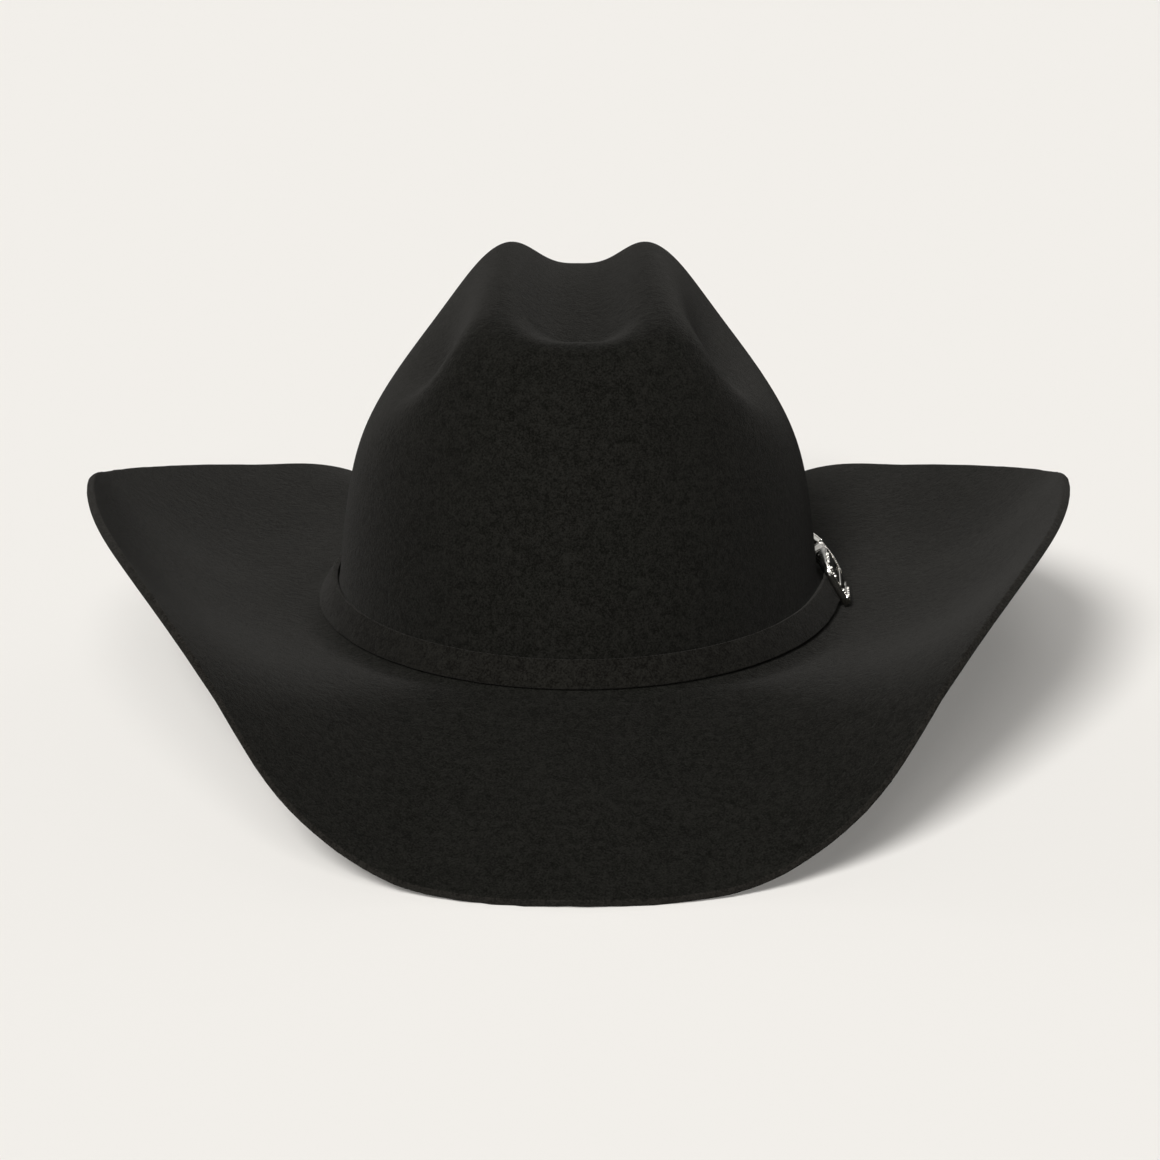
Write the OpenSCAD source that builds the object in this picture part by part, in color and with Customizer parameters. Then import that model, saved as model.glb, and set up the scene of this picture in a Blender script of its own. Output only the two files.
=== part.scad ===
// Western felt hat: one shaped felt body with a sweatband and a lining inside, and a felt
// band around the crown that closes with a silver buckle, keeper and tip.
// Millimetres. +Z is up, the front of the hat faces -Y, and +X is the wearer's left, where
// the buckle is. The hat stands on the front and the rear of its brim at Z = 0.
// Curves are worked out about the break, the plane where crown and brim meet.

/* [Head opening] */
// Half width of the felt crown just above the brim
crown_half_width = 86.5; // [84:0.5:89]
// Half length of the felt crown just above the brim
crown_half_length = 104.5; // [102:0.5:107]

/* [Felt] */
// Thickness of the crown's felt
crown_felt = 2.6; // [2.2:0.1:2.8]
// Thickness of the felt at the brim's cut edge
edge_felt = 3.2; // [2.6:0.1:3.4]

/* [Crown] */
// Height of the top above the break before it blends into the sides, which lowers it 3 mm
ridge_height = 128.5; // [122:0.5:132]
// Depth of the centre crease behind the front lip
crease_depth = 15; // [10:0.5:18]
// Depth of the centre crease at the rear
crease_rear_depth = 12.5; // [8:0.5:14]
// Half width of the centre crease
crease_half_width = 19; // [16:0.5:21]
// Depth of the side dents below the sloping sides
dent_depth = 10; // [4:0.5:12]

/* [Brim] */
// Width of the brim along the felt at the sides
brim_width = 90; // [80:1:94]
// Extra width of the brim at the front and the rear
brim_extra = 8; // [4:0.5:10]
// Radius of the bend where the crown turns into the brim
break_radius = 13; // [12.5:0.5:13.5]

/* [Lining] */
// Thickness of the leather sweatband
sweatband_leather = 1.2; // [0.9:0.1:1.3]
// Thickness of the satin lining with its backing
lining_satin = 0.5; // [0.4:0.05:0.6]

/* [Hat band] */
// Width of the felt strap
strap_width = 10.5; // [10:0.1:10.8]
// Thickness of the felt strap
strap_thick = 2; // [1.6:0.1:2.2]

/* [Buckle set] */
// How far behind the middle of the hat's left side the buckle's middle sits
buckle_behind = 0; // [-6:1:10]
// Radius of the buckle's bar
bar_r = 0.65; // [0.55:0.05:0.65]
// Width of the buckle across the strap
buckle_height = 17.6; // [17:0.1:18]
// Height of the ornament's beads
bead_r = 0.7; // [0.5:0.05:0.8]

/* [Hidden] */

felt_colour = [0.11, 0.11, 0.10];
leather_colour = [0.16, 0.12, 0.10];
satin_colour = [0.20, 0.20, 0.22];
silver_colour = [0.78, 0.77, 0.75];

// ---- Crown: a leaning oval wall, a cambered top and two sloping sides, blended ----
wall_foot = 13;           // height of the wall's foot, where the break's bend starts
ray_centre = 40;          // height of the point that the crown is measured from
side_lean = 0.08;         // inward lean of the side walls at the foot, and its growth
side_curve = 0.0007;
front_lean = 0.13;
front_curve = 0.001;
rear_lean = 0.06;
rear_curve = 0.0009;
top_camber = 0.0011;      // fall of the top away from its highest place
top_middle = 10;          // how far behind the centre the top is highest
slope = [0.775, 0.632];   // unit normal of the sloping side, across and up
slope_rear = 0.055;       // how fast the slope sinks towards the rear
slope_reach = 106;        // distance of the sloping side from the break's centre
blend = 16;               // how tightly wall, top and sides meet: higher is tighter
dent_middle = [47, -32, 103];
dent_front = 26;          // reach of a side dent forwards, backwards and along the slope
dent_rear = 56;
dent_along = 19;
crease_front = [-80, -42];
crease_back = [80, 112];

// ---- Brim: mean slope by angle from the front, rolled up at the sides ----
brim_knots = [[0, -25.7], [12, -25.9], [22, -23], [32, -9.5], [42, 13], [55, 27], [72, 33.5],
    [90, 32.5], [105, 22.5], [120, 13], [135, 5], [150, -2], [165, -19.6], [180, -25.93]];
foot_tangent = -80;       // slope of the felt where the break's bend starts
roll_side = 44;           // how much the brim's slope grows from break to edge at the side
roll_end = -8;            // the same at the front and the rear

columns = 64;             // sections around the hat
crown_rings = 24;
bend_rings = 4;
brim_rings = 9;

function smooth(x, a, b) = let (t = max(0, min(1, (x - a) / (b - a)))) t * t * (3 - 2 * t);
function unit(v) = v / norm(v);
function total(list) = list * [for (x = list) 1];

function wall_width(z) = let (h = z - wall_foot)
    max(20, crown_half_width - side_lean * h - side_curve * h * abs(h));
function wall_length(z, back) = let (h = z - wall_foot, w = smooth(back, -0.4, 0.4))
    max(20, crown_half_length - (front_lean + (rear_lean - front_lean) * w) * h
        - (front_curve + (rear_curve - front_curve) * w) * h * abs(h));

// Distance from the ray centre to the wall and to the top along d, by repeated averaging
function wall_ray(d, r = 90, n = 12) = n == 0 ? r : let (
    z = max(-10, min(140, ray_centre + r * d.z)),
    hit = 1 / sqrt(pow(d.x / wall_width(z), 2) + pow(d.y / wall_length(z, d.y), 2) + 1e-12))
    wall_ray(d, (r + min(400, hit)) / 2, n - 1);
function top_ray(d, r = 90, n = 12) = n == 0 ? r : let (
    y = max(-120, min(120, r * d.y)),
    hit = (ridge_height - top_camber * pow(y - top_middle, 2) - ray_centre) / max(d.z, 1e-3))
    top_ray(d, (r + min(1500, hit)) / 2, n - 1);
function dent(p) = let (
    along = (p.z - dent_middle.z) * slope.x - (p.x - dent_middle.x) * slope.y + 2,
    back = (p.y - dent_middle.y) / (p.y < dent_middle.y ? dent_front : dent_rear))
    dent_depth * exp(-back * back - pow(along / dent_along, 2));
function side_ray(d) = let (
    facing = slope.x * abs(d.x) + slope.y * d.z + slope_rear * d.y,
    r = (slope_reach - slope.y * ray_centre) / max(facing, 0.01),
    q = min(r, 300))
    r - dent([q * abs(d.x), q * d.y, ray_centre + q * d.z]) / max(facing, 0.3);
function crease(p) =
    smooth(p.y, crease_front[0], crease_front[1]) * (1 - smooth(p.y, crease_back[0], crease_back[1]))
    * (crease_depth + (crease_rear_depth - crease_depth) * smooth(p.y, -30, 60))
    * exp(-pow(abs(p.x) / crease_half_width, 3)) * smooth(p.z, 60, 100);

// A point of the crown's outer face: turn about Z from the front, and elevation
function crown_point(turn, elev) = let (
    d = [cos(elev) * sin(turn), -cos(elev) * cos(turn), sin(elev)],
    r = pow(pow(wall_ray(d), -blend) + pow(top_ray(d), -blend) + pow(side_ray(d), -blend),
        -1 / blend),
    p = [r * d.x, r * d.y, ray_centre + r * d.z])
    p - [0, 0, crease(p)];

// The oval of the wall's foot, by the angle t of its outward normal from the front
function facing(t) = [sin(t), -cos(t), 0];
function along(t) = [cos(t), sin(t), 0];
function foot(t) = let (a = crown_half_width, b = crown_half_length,
    k = norm([a * sin(t), b * cos(t)])) [a * a * sin(t) / k, -b * b * cos(t) / k, wall_foot];

// Crown point in column t, at share s of the way up, sunk into the felt by inset
function crown_at(t, s, inset) = let (
    f = foot(t), turn = atan2(f.x, -f.y),
    low = atan2(wall_foot - ray_centre, norm([f.x, f.y])),
    elev = low + (90 - low) * s, step = 0.7,
    p = crown_point(turn, elev),
    n = unit(cross(crown_point(turn, elev - step) - crown_point(turn, elev + step),
        crown_point(turn + step, elev) - crown_point(turn - step, elev))))
    p - inset * n;
function crown_top(inset) = crown_point(0, 90) - [0, 0, inset];

// Point in column t on the bend of the break, where the felt slopes by angle
function bend_at(t, angle, inset) = foot(t)
    + facing(t) * (break_radius * (sin(angle) - sin(foot_tangent)) + inset * sin(angle))
    - [0, 0, break_radius * (cos(angle) - cos(foot_tangent)) + inset * cos(angle)];

// Smooth curve through the brim's knots
function knot_slope(i) = i == 0 || i == len(brim_knots) - 1 ? 0 :
    (brim_knots[i + 1][1] - brim_knots[i - 1][1]) / (brim_knots[i + 1][0] - brim_knots[i - 1][0]);
function knot_before(t) = max([for (i = [0 : len(brim_knots) - 2]) if (brim_knots[i][0] <= t) i]);
function mean_slope(t) = let (
    side = t > 180 ? 360 - t : t, i = knot_before(side), a = brim_knots[i], b = brim_knots[i + 1],
    h = b[0] - a[0], u = (side - a[0]) / h, u2 = u * u, u3 = u2 * u)
    (2 * u3 - 3 * u2 + 1) * a[1] + (u3 - 2 * u2 + u) * h * knot_slope(i)
    + (3 * u2 - 2 * u3) * b[1] + (u3 - u2) * h * knot_slope(i + 1);
function roll(t) = roll_end * pow(cos(t), 2) + roll_side * pow(sin(t), 2);
function slope_at(t, v) = mean_slope(t) + roll(t) * (smooth(v, 0, 1) - 0.5);

// Point in column t of the brim, at share v of its width
function brim_at(t, v, inset) = let (
    parts = 16, width = brim_width + brim_extra * pow(cos(t), 2),
    angles = [for (k = [0.5 : parts]) slope_at(t, v * k / parts)],
    run = total([for (a = angles) cos(a)]) * width * v / parts,
    rise = total([for (a = angles) sin(a)]) * width * v / parts,
    end = slope_at(t, v))
    bend_at(t, slope_at(t, 0), 0) + facing(t) * (run + inset * sin(end))
    + [0, 0, rise - inset * cos(end)];

// Rings of points, from the top of the crown down and out to the brim's edge
turns = [for (i = [0 : columns - 1]) 360 * i / columns];
function crown_ring(s, inset) = [for (t = turns) crown_at(t, s, inset)];
function bend_ring(share, inset) =
    [for (t = turns) bend_at(t, foot_tangent + (slope_at(t, 0) - foot_tangent) * share, inset)];
function level_ring(angle, inset) = [for (t = turns) bend_at(t, angle, inset)];
function brim_ring(v, inset) = [for (t = turns) brim_at(t, v, inset)];
function felt_rings(deep) = concat(
    [for (j = [1 : crown_rings]) crown_ring(1 - j / crown_rings, deep * crown_felt)],
    [for (j = [1 : bend_rings]) bend_ring(j / bend_rings, deep * crown_felt)],
    [for (j = [1 : brim_rings])
        brim_ring(j / brim_rings, deep * (crown_felt + (edge_felt - crown_felt) * j / brim_rings))]);

// The hat stands on the lowest points of its cut edge, centred on its outline
edge_under = brim_ring(1, edge_felt);
edge_over = brim_ring(1, 0);
lift = -min([for (p = edge_under) p.z]);
middle_y = (max([for (p = edge_over) p.y]) + min([for (p = edge_over) p.y])) / 2;
module placed() translate([0, -middle_y, lift]) children();

// ---- Closed shell between two sets of rings, with or without a closed top ----
function shell_faces(m, n, closed_top) = concat(
    [for (j = [0 : m - 2], i = [0 : n - 1]) let (k = (i + 1) % n)
        each [[j * n + i, j * n + k, (j + 1) * n + k], [j * n + i, (j + 1) * n + k, (j + 1) * n + i]]],
    [for (j = [m : 2 * m - 2], i = [0 : n - 1]) let (k = (i + 1) % n)
        each [[j * n + i, (j + 1) * n + k, j * n + k], [j * n + i, (j + 1) * n + i, (j + 1) * n + k]]],
    [for (i = [0 : n - 1]) let (k = (i + 1) % n, e = (m - 1) * n, f = (2 * m - 1) * n)
        each [[e + i, e + k, f + k], [e + i, f + k, f + i]]],
    closed_top
        ? [for (i = [0 : n - 1]) let (k = (i + 1) % n)
            each [[2 * m * n, k, i], [2 * m * n + 1, m * n + i, m * n + k]]]
        : [for (i = [0 : n - 1]) let (k = (i + 1) % n)
            each [[i, m * n + k, k], [i, m * n + i, m * n + k]]]);
module shell(outer, inner, top = []) polyhedron(
    [each [for (r = outer) each r], each [for (r = inner) each r], each top],
    shell_faces(len(outer), len(outer[0]), len(top) == 2));

// Closed loop of a round cord: middle(t) is its middle line in column t
function cord_ring(middle, q, r) = let (n = len(middle))
    [for (i = [0 : n - 1]) let (
        run = unit(middle[(i + 1) % n] - middle[(i + n - 1) % n]),
        out = unit(cross(run, [0, 0, 1])), up = cross(out, run))
        middle[i] + r * (cos(q) * out + sin(q) * up)];
function loop_faces(m, n) = [for (j = [0 : m - 1], i = [0 : n - 1])
    let (k = (i + 1) % n, l = (j + 1) % m)
    each [[j * n + i, l * n + k, j * n + k], [j * n + i, l * n + i, l * n + k]]];
module cord_loop(middle, r, sides) polyhedron(
    [for (j = [0 : sides - 1]) each cord_ring(middle, 360 * j / sides, r)],
    loop_faces(sides, len(middle)));
module sleeve_loop(middle, r_in, r_out, sides) difference() {
    cord_loop(middle, r_out, sides);
    cord_loop(middle, r_in, sides);
}

// ---- Felt body ----
module felt_body() color(felt_colour) placed()
    shell(felt_rings(0), felt_rings(1), [crown_top(0), crown_top(crown_felt)]);

// ---- Sweatband: leather strip stitched at the break, with a reed in its lower edge ----
gap = 0.6;                                   // air between one skin and the next
lining_out = crown_felt + gap;
lining_in = lining_out + lining_satin;
leather_out = lining_in + gap;
leather_in = leather_out + sweatband_leather;
sweat_top = 0.25;                            // share of the crown's rise that it covers
reed_angle = -38;
reed_r = 0.75;
tape_r = 1.15;
function sweat_rings(inset) = concat(
    [for (j = [0 : 5]) crown_ring(sweat_top * (1 - j / 6), inset)],
    [for (angle = [-80, -61, -42]) level_ring(angle, inset)]);
reed_line = level_ring(reed_angle, (leather_out + leather_in) / 2);

module sweatband() color(leather_colour) placed()
    shell(sweat_rings(leather_out), sweat_rings(leather_in));
module sweatband_reed() color("ivory") placed() cord_loop(reed_line, reed_r, 6);
module reed_tape() color(leather_colour) placed() sleeve_loop(reed_line, reed_r + 0.15, tape_r, 6);

// Open strip on the crown's inside, between two columns and two heights
module strip(t_range, s_range, inset_range, nt = 6, ns = 5) {
    m = nt + 1;
    k = m * (ns + 1);
    function at(inset) = [for (j = [0 : ns], i = [0 : nt])
        crown_at(t_range[0] + (t_range[1] - t_range[0]) * i / nt,
            s_range[1] + (s_range[0] - s_range[1]) * j / ns, inset)];
    edge = concat([for (i = [0 : nt]) i], [for (j = [1 : ns]) j * m + nt],
        [for (i = [nt - 1 : -1 : 0]) ns * m + i], [for (j = [ns - 1 : -1 : 1]) j * m]);
    polyhedron(concat(at(inset_range[0]), at(inset_range[1])), concat(
        [for (j = [0 : ns - 1], i = [0 : nt - 1]) let (a = j * m + i)
            each [[a, a + 1, a + m + 1], [a, a + m + 1, a + m],
                [k + a, k + a + m + 1, k + a + 1], [k + a, k + a + m, k + a + m + 1]]],
        [for (i = [0 : len(edge) - 1]) let (a = edge[i], b = edge[(i + 1) % len(edge)])
            each [[a, k + b, b], [a, k + a, k + b]]]));
}
behind = lining_in + 0.2;                    // room between the lining and the sweatband
module sweatband_seam() color(leather_colour) placed()
    strip([176, 184], [0.03, 0.19], [behind, behind + 0.2], 2, 4);
module size_label() color("white") placed()
    strip([148, 160], [0.17, 0.31], [behind, behind + 0.2], 4, 4);

// Flat ribbon bow on the leather at the rear, seen from inside the hat
bow_half = 11;
module bow_outline() {
    polygon([[0, -1.2], [bow_half * 0.35, -2.6], [bow_half, -4.2], [bow_half, 4.2],
        [bow_half * 0.35, 2.6], [0, 1.2], [-bow_half * 0.35, 2.6], [-bow_half, 4.2],
        [-bow_half, -4.2], [-bow_half * 0.35, -2.6]]);
}
module sweatband_bow() color(satin_colour) placed()
    translate([0, crown_half_length - leather_in - 1.6, 17]) rotate([90, 0, 0]) {
        linear_extrude(1.2) bow_outline();
        translate([0, 0, 0.6]) cylinder(r = 1.9, h = 1.5, $fn = 32);
    }

// ---- Lining: satin side and tip, a piped seam between them and a clear shield ----
liner_seam = 0.55;                           // share of the crown's rise where side meets tip
function liner_rings(inset) = [for (j = [0 : 9])
    crown_ring(liner_seam - 0.01 - (liner_seam - 0.06) * j / 9, inset)];
function tip_rings(inset) = [for (j = [1 : 8])
    crown_ring(1 - (1 - liner_seam - 0.01) * j / 8, inset)];
module liner_side() color(satin_colour) placed()
    shell(liner_rings(lining_out), liner_rings(lining_in));
module liner_tip() color(satin_colour) placed()
    shell(tip_rings(lining_out), tip_rings(lining_in), [crown_top(lining_out), crown_top(lining_in)]);
module liner_piping() color(leather_colour) placed()
    cord_loop(crown_ring(liner_seam, lining_in + 0.9), 0.6, 6);
shield_out = lining_in + 0.3;
function shield_rings(inset) = [for (j = [1 : 5])
    crown_ring(1 - (1 - liner_seam - 0.01) * j / 8, inset)];
module liner_shield() color("white", 0.4) placed()
    shell(shield_rings(shield_out), shield_rings(shield_out + 0.25),
        [crown_top(shield_out), crown_top(shield_out + 0.25)]);

// ---- Hat band: places on it are [along, up, out]: along the strap towards the rear, with
// the buckle's middle at frame_middle, up across its width, and out from the crown ----
lean = 30;                                   // the strap leans out over the break
strap_middle = [3.225, 9.05];                // middle of its inner face from the wall's foot
side_radius = crown_half_length * crown_half_length / crown_half_width + 5;
straights = [[-3.5, 22, 8.5], [36, 61, 48.5]];   // stiff fittings keep the strap straight

frame_middle = 8.5;                          // the buckle frame's middle along the strap
function turn_at(u) = 90 + (u - frame_middle + buckle_behind) / side_radius * 180 / PI;
function straight_at(u) = [for (z = straights) if (u >= z[0] && u <= z[1]) z[2]];
function held(u) = len(straight_at(u)) > 0 ? straight_at(u)[0] : u;
function band_origin(u) = let (t = turn_at(held(u)), f = foot(t))
    [f.x, f.y, strap_middle.y] + facing(t) * strap_middle.x + along(t) * (u - held(u));
function band_point(p) = let (t = turn_at(held(p.x)))
    band_origin(p.x) + p.y * (cos(lean) * [0, 0, 1] - sin(lean) * facing(t))
    + p.z * (sin(lean) * [0, 0, 1] + cos(lean) * facing(t));
module on_band(u) placed() translate(band_origin(u)) rotate([0, 0, turn_at(held(u))])
    rotate([90 - lean, 0, 0]) children();

bar_at = [18.5, 2.6];                        // the buckle's bar, along and out
fold_r = bar_r + 0.5;                        // middle of the strap's fold around the bar
fold_thick = 0.8;
loop_length = 2 * PI * side_radius;          // turns are counted as if the oval were round
strap_gap = 0.2;                             // air between the strap and the crown

// The strap's middle line, [along, out, thickness]: the fold, once round, and the free end
strap_line = concat(
    [[24, 1.45, fold_thick], [21.5, 1.45, fold_thick]],
    [for (q = [0 : 30 : 180])
        [bar_at.x - fold_r * sin(q), bar_at.y - fold_r * cos(q), fold_thick]],
    [[21, 3.25, fold_thick], [24, 2.7, 0.9], [28, 2.3, 1.4], [35.5, 2.3, 1.4], [40, 2.3, 1.4],
        [48, 2.3, 1.4], [56, 2.3, 1.4], [60.5, 2.2, 1.5], [66, 1.7, 1.8], [72, 1.2, strap_thick]],
    [for (k = [1 : 57]) [72 + (loop_length - 96) * k / 57, strap_thick / 2 + strap_gap, strap_thick]],
    [for (p = [[-16, 1.2, strap_thick], [-9, 1.7, 1.6], [-3.5, 2, 1.4], [1, 2.1, 1.4],
        [6, 2.8, 1.4], [11, 3.9, 1.4], [15, 4.75, 1.4], [bar_at.x, 5.1, 1.4], [21.5, 4.6, 1.4],
        [24, 4.1, 1.4], [28, 4, 1.4], [35.5, 4, 1.4], [40, 4, 1.4], [48, 4, 1.4], [57, 4, 1.4]])
        [p[0] + loop_length, p[1], p[2]]]);

function wrapped(u) = u > loop_length - 40 ? u - loop_length : u;
function strap_section(i) = let (
    p = strap_line[i], a = strap_line[max(i - 1, 0)], b = strap_line[min(i + 1, len(strap_line) - 1)],
    run = unit([b[0] - a[0], b[1] - a[1]]), half = p[2] / 2, w = strap_width / 2, u = wrapped(p[0]),
    low = [u + run.y * half, p[1] - run.x * half], high = [u - run.y * half, p[1] + run.x * half])
    [for (c = [[low, -w], [high, -w], [high, w], [low, w]]) band_point([c[0].x, c[1], c[0].y])];
module strap_body() polyhedron(
    [for (i = [0 : len(strap_line) - 1]) each strap_section(i)],
    let (m = len(strap_line)) concat(
        [for (i = [0 : m - 2], c = [0 : 3]) let (d = (c + 1) % 4, e = 4 * i, f = 4 * i + 4)
            each [[e + c, e + d, f + d], [e + c, f + d, f + c]]],
        [[0, 3, 2], [0, 2, 1], [4 * m - 4, 4 * m - 3, 4 * m - 2], [4 * m - 4, 4 * m - 2, 4 * m - 1]]));
slot_half = 1.5;                             // half width of the slot that the tongue swings in
slot_reach = [-6, 5];                        // the slot's ends, from the bar

// The strap is cut through where the tongue passes the free end and the fold
module hat_band() color(felt_colour) difference() {
    placed() strap_body();
    on_band(bar_at.x) translate([slot_reach[0], -slot_half, -1])
        cube([slot_reach[1] - slot_reach[0], 2 * slot_half, 10]);
}
module fold_stitches() color(felt_colour) on_band(21.5)
    for (y = [-4.2, -3.2, -2.2, 2.2, 3.2, 4.2]) translate([0, y, 0.95])
        cylinder(r = 0.3, h = 2.55, $fn = 16);

// ---- Buckle: a frame open to the rear, its bar, ornament and tongue ----
frame_length = 24;
frame_thick = 2.2;
frame_low = 3;                               // underside of the frame, out from the strap's place
frame_up = 0.5;                              // its middle across the strap
opening = [-5.7, 6.7];                       // the opening's edges, up across the strap
front_bar = 3.5;
frame_top = frame_low + frame_thick;
bar_x = bar_at.x - frame_middle;

// Rectangle with round corners, centred
module rounded(size, r) {
    square([size.x - 2 * r, size.y], center = true);
    square([size.x, size.y - 2 * r], center = true);
    for (x = [-1, 1], y = [-1, 1])
        translate([x * (size.x / 2 - r), y * (size.y / 2 - r)]) circle(r = r, $fn = 48);
}
// Everything on the buckle is drawn about its middle; lengthwise cylinders lie along Y
module upright(r, y_low, y_high, at) translate([at.x, y_low, at.y]) rotate([-90, 0, 0])
    cylinder(r = r, h = y_high - y_low, $fn = 48);
module frame_outline(inset) difference() {
    translate([0, frame_up]) rounded([frame_length - 2 * inset, buckle_height - 2 * inset], 4 - inset);
    translate([front_bar - frame_length / 2 - inset, opening[0] - inset])
        square([frame_length, opening[1] - opening[0] + 2 * inset]);
}
lug = 1.3;
module buckle_frame() color(silver_colour) on_band(frame_middle) difference() {
    union() {
        translate([0, 0, frame_low]) linear_extrude(frame_thick) frame_outline(0);
        for (y = [opening[0] - lug, opening[1]]) upright(1.2, y, y + lug, [bar_x, bar_at.y]);
    }
    upright(bar_r, opening[0] - lug, opening[1] + lug, [bar_x, bar_at.y]);
}
module buckle_bar() color("gray") on_band(frame_middle)
    upright(bar_r, opening[0] - lug + 0.1, opening[1] + lug - 0.1, [bar_x, bar_at.y]);

// Beaded border on a thin plate, between the two rails and beside the tongue
plate = 0.4;
module bead(x, y) translate([x, y, plate]) sphere(r = bead_r, $fn = 24);
// Cuts the beads off level with the plate's underside
module flat_backed() difference() {
    children();
    translate([-25, -25, -5]) cube([50, 50, 5]);
}
module buckle_overlay() color(silver_colour) on_band(frame_middle) translate([0, 0, frame_top])
    flat_backed() {
    difference() {
        linear_extrude(plate) frame_outline(0.5);
        translate([-frame_length / 2, -1.7, -1]) cube([frame_length / 2, 3.4, 3]);
    }
    for (x = [-7 : 2 : 9], y = [opening[0] - 1.3, opening[1] + 1.3]) bead(x, y);
    for (y = [-4.6, -2.9, 2.9, 4.6]) bead((front_bar - frame_length) / 2, y);
}

// The tongue's side view, from the bar: up through the slot and forward onto the frame
tongue_side = [[-1.3, 0.6], [0.9, 1.1], [-1.2, 3.4], [-3.6, 3.95], [-12, 3.75], [-19, 3.55],
    [-21.6, 3.1], [-21.8, 2.75], [-18.6, 2.7], [-12, 2.85], [-4, 3.05], [-2.4, 2.6]];
tongue_half = 0.8;
module buckle_tongue() color(silver_colour) on_band(frame_middle) translate([bar_x, 0, bar_at.y])
    difference() {
        union() {
            upright(1.5, -1.1, 1.1, [0, 0]);
            translate([0, tongue_half, 0]) rotate([90, 0, 0])
                linear_extrude(2 * tongue_half) polygon(tongue_side);
        }
        upright(bar_r + 0.05, -2, 2, [0, 0]);
    }

// ---- Keeper: a loop around both layers of the strap ----
keeper_at = 31;
keeper_length = 7;
keeper_room = [11.1, 3.7];                   // its opening, up and out
keeper_wall = [0.9, 0.6];
keeper_low = 1.3;                            // the opening's inner face
keeper_top = keeper_low + keeper_room.y + keeper_wall.y;
module keeper_loop() color(silver_colour) on_band(keeper_at)
    translate([0, 0, keeper_low + keeper_room.y / 2]) rotate([90, 0, 90])
        linear_extrude(keeper_length, center = true) difference() {
            rounded(keeper_room + 2 * keeper_wall, 0.5);
            square(keeper_room, center = true);
        }
module keeper_overlay() color(silver_colour) on_band(keeper_at) translate([0, 0, keeper_top])
    flat_backed() {
        linear_extrude(plate) rounded([keeper_length - 0.4, keeper_room.x + 2.3], 1.5);
        for (x = [-2.2, 2.2], y = [-5.4 : 1.8 : 5.4]) bead(x, y);
    }

// ---- Tip: a silver cap on the strap's free end, held by two screws from behind ----
tip_middle = 48.5;
tip_low = 3.2;
tip_top = 5.9;
tip_front = -11.5;                           // its open end and its round end's middle, from its middle
tip_round = 6.4;
tip_half = 6.6;
screws_x = [-6.5, 2.5];
screw_r = 0.7;
module tip_outline(inset) {
    translate([tip_front + inset, inset - tip_half])
        square([tip_round - tip_front - inset, 2 * (tip_half - inset)]);
    translate([tip_round, 0]) circle(r = tip_half - inset, $fn = 64);
}
module band_tip() color(silver_colour) on_band(tip_middle) difference() {
    translate([0, 0, tip_low]) linear_extrude(tip_top - tip_low) tip_outline(0);
    translate([tip_front - 1, -5.45, tip_low - 1]) cube([9 - tip_front + 1, 10.9, 2.6]);
    for (x = screws_x) translate([x, 0, tip_low]) cylinder(r = screw_r, h = 2.1, $fn = 32);
}
module tip_overlay() color(silver_colour) on_band(tip_middle) translate([0, 0, tip_top])
    flat_backed() {
    linear_extrude(plate) tip_outline(0.6);
    for (x = [-10 : 2 : 6], y = [-5.2, 5.2]) bead(x, y);
    for (q = [-60 : 20 : 60]) bead(tip_round + 5.2 * cos(q), 5.2 * sin(q));
}
module tip_screws() color("gray") on_band(tip_middle)
    for (x = screws_x) translate([x, 0, 3.15]) {
        cylinder(r = 1.5, h = 0.45, $fn = 32);
        cylinder(r = screw_r, h = 2.1, $fn = 32);
    }

felt_body();
sweatband();
sweatband_reed();
reed_tape();
sweatband_seam();
sweatband_bow();
size_label();
liner_side();
liner_tip();
liner_piping();
liner_shield();
hat_band();
fold_stitches();
buckle_frame();
buckle_bar();
buckle_overlay();
buckle_tongue();
keeper_loop();
keeper_overlay();
band_tip();
tip_overlay();
tip_screws();
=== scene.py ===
import math

import bmesh
import bpy
import numpy as np
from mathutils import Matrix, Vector


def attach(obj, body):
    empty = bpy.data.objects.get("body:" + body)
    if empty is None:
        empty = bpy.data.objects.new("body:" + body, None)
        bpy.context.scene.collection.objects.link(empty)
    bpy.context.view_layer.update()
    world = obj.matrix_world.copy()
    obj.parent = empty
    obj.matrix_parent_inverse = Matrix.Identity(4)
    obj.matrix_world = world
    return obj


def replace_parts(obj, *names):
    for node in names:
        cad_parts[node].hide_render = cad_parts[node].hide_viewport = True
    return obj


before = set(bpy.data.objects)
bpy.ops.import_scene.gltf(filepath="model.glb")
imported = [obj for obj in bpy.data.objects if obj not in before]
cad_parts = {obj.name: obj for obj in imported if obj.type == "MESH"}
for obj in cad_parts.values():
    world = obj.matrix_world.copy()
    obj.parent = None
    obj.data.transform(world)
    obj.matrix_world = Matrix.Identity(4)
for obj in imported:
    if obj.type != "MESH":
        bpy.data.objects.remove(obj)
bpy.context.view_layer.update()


# ---- The hat's shape, in millimetres about the break, as the CAD works it out
HALF_WIDTH, HALF_LENGTH = 86.5, 104.5  # the crown's oval at its foot
CROWN_FELT, EDGE_FELT = 2.6, 3.2  # thickness in the crown and at the brim's edge
FOOT, RAY, RIDGE = 13.0, 40.0, 128.5  # heights: crown's foot, ray centre, ridges
BREAK, TANGENT = 13.0, -80.0  # the bend's radius, and the slope it starts at
# How much the wall leans and curves in with height, and how much less it does so at the rear
SIDE_LEAN, SIDE_CURVE = 0.08, 0.0007
END_LEAN, END_LEAN_LESS, END_CURVE, END_CURVE_LESS = 0.13, 0.07, 0.001, 0.0001
TOP_CAMBER, TOP_Y = 0.0011, 10  # the top falls away from this place
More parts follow.
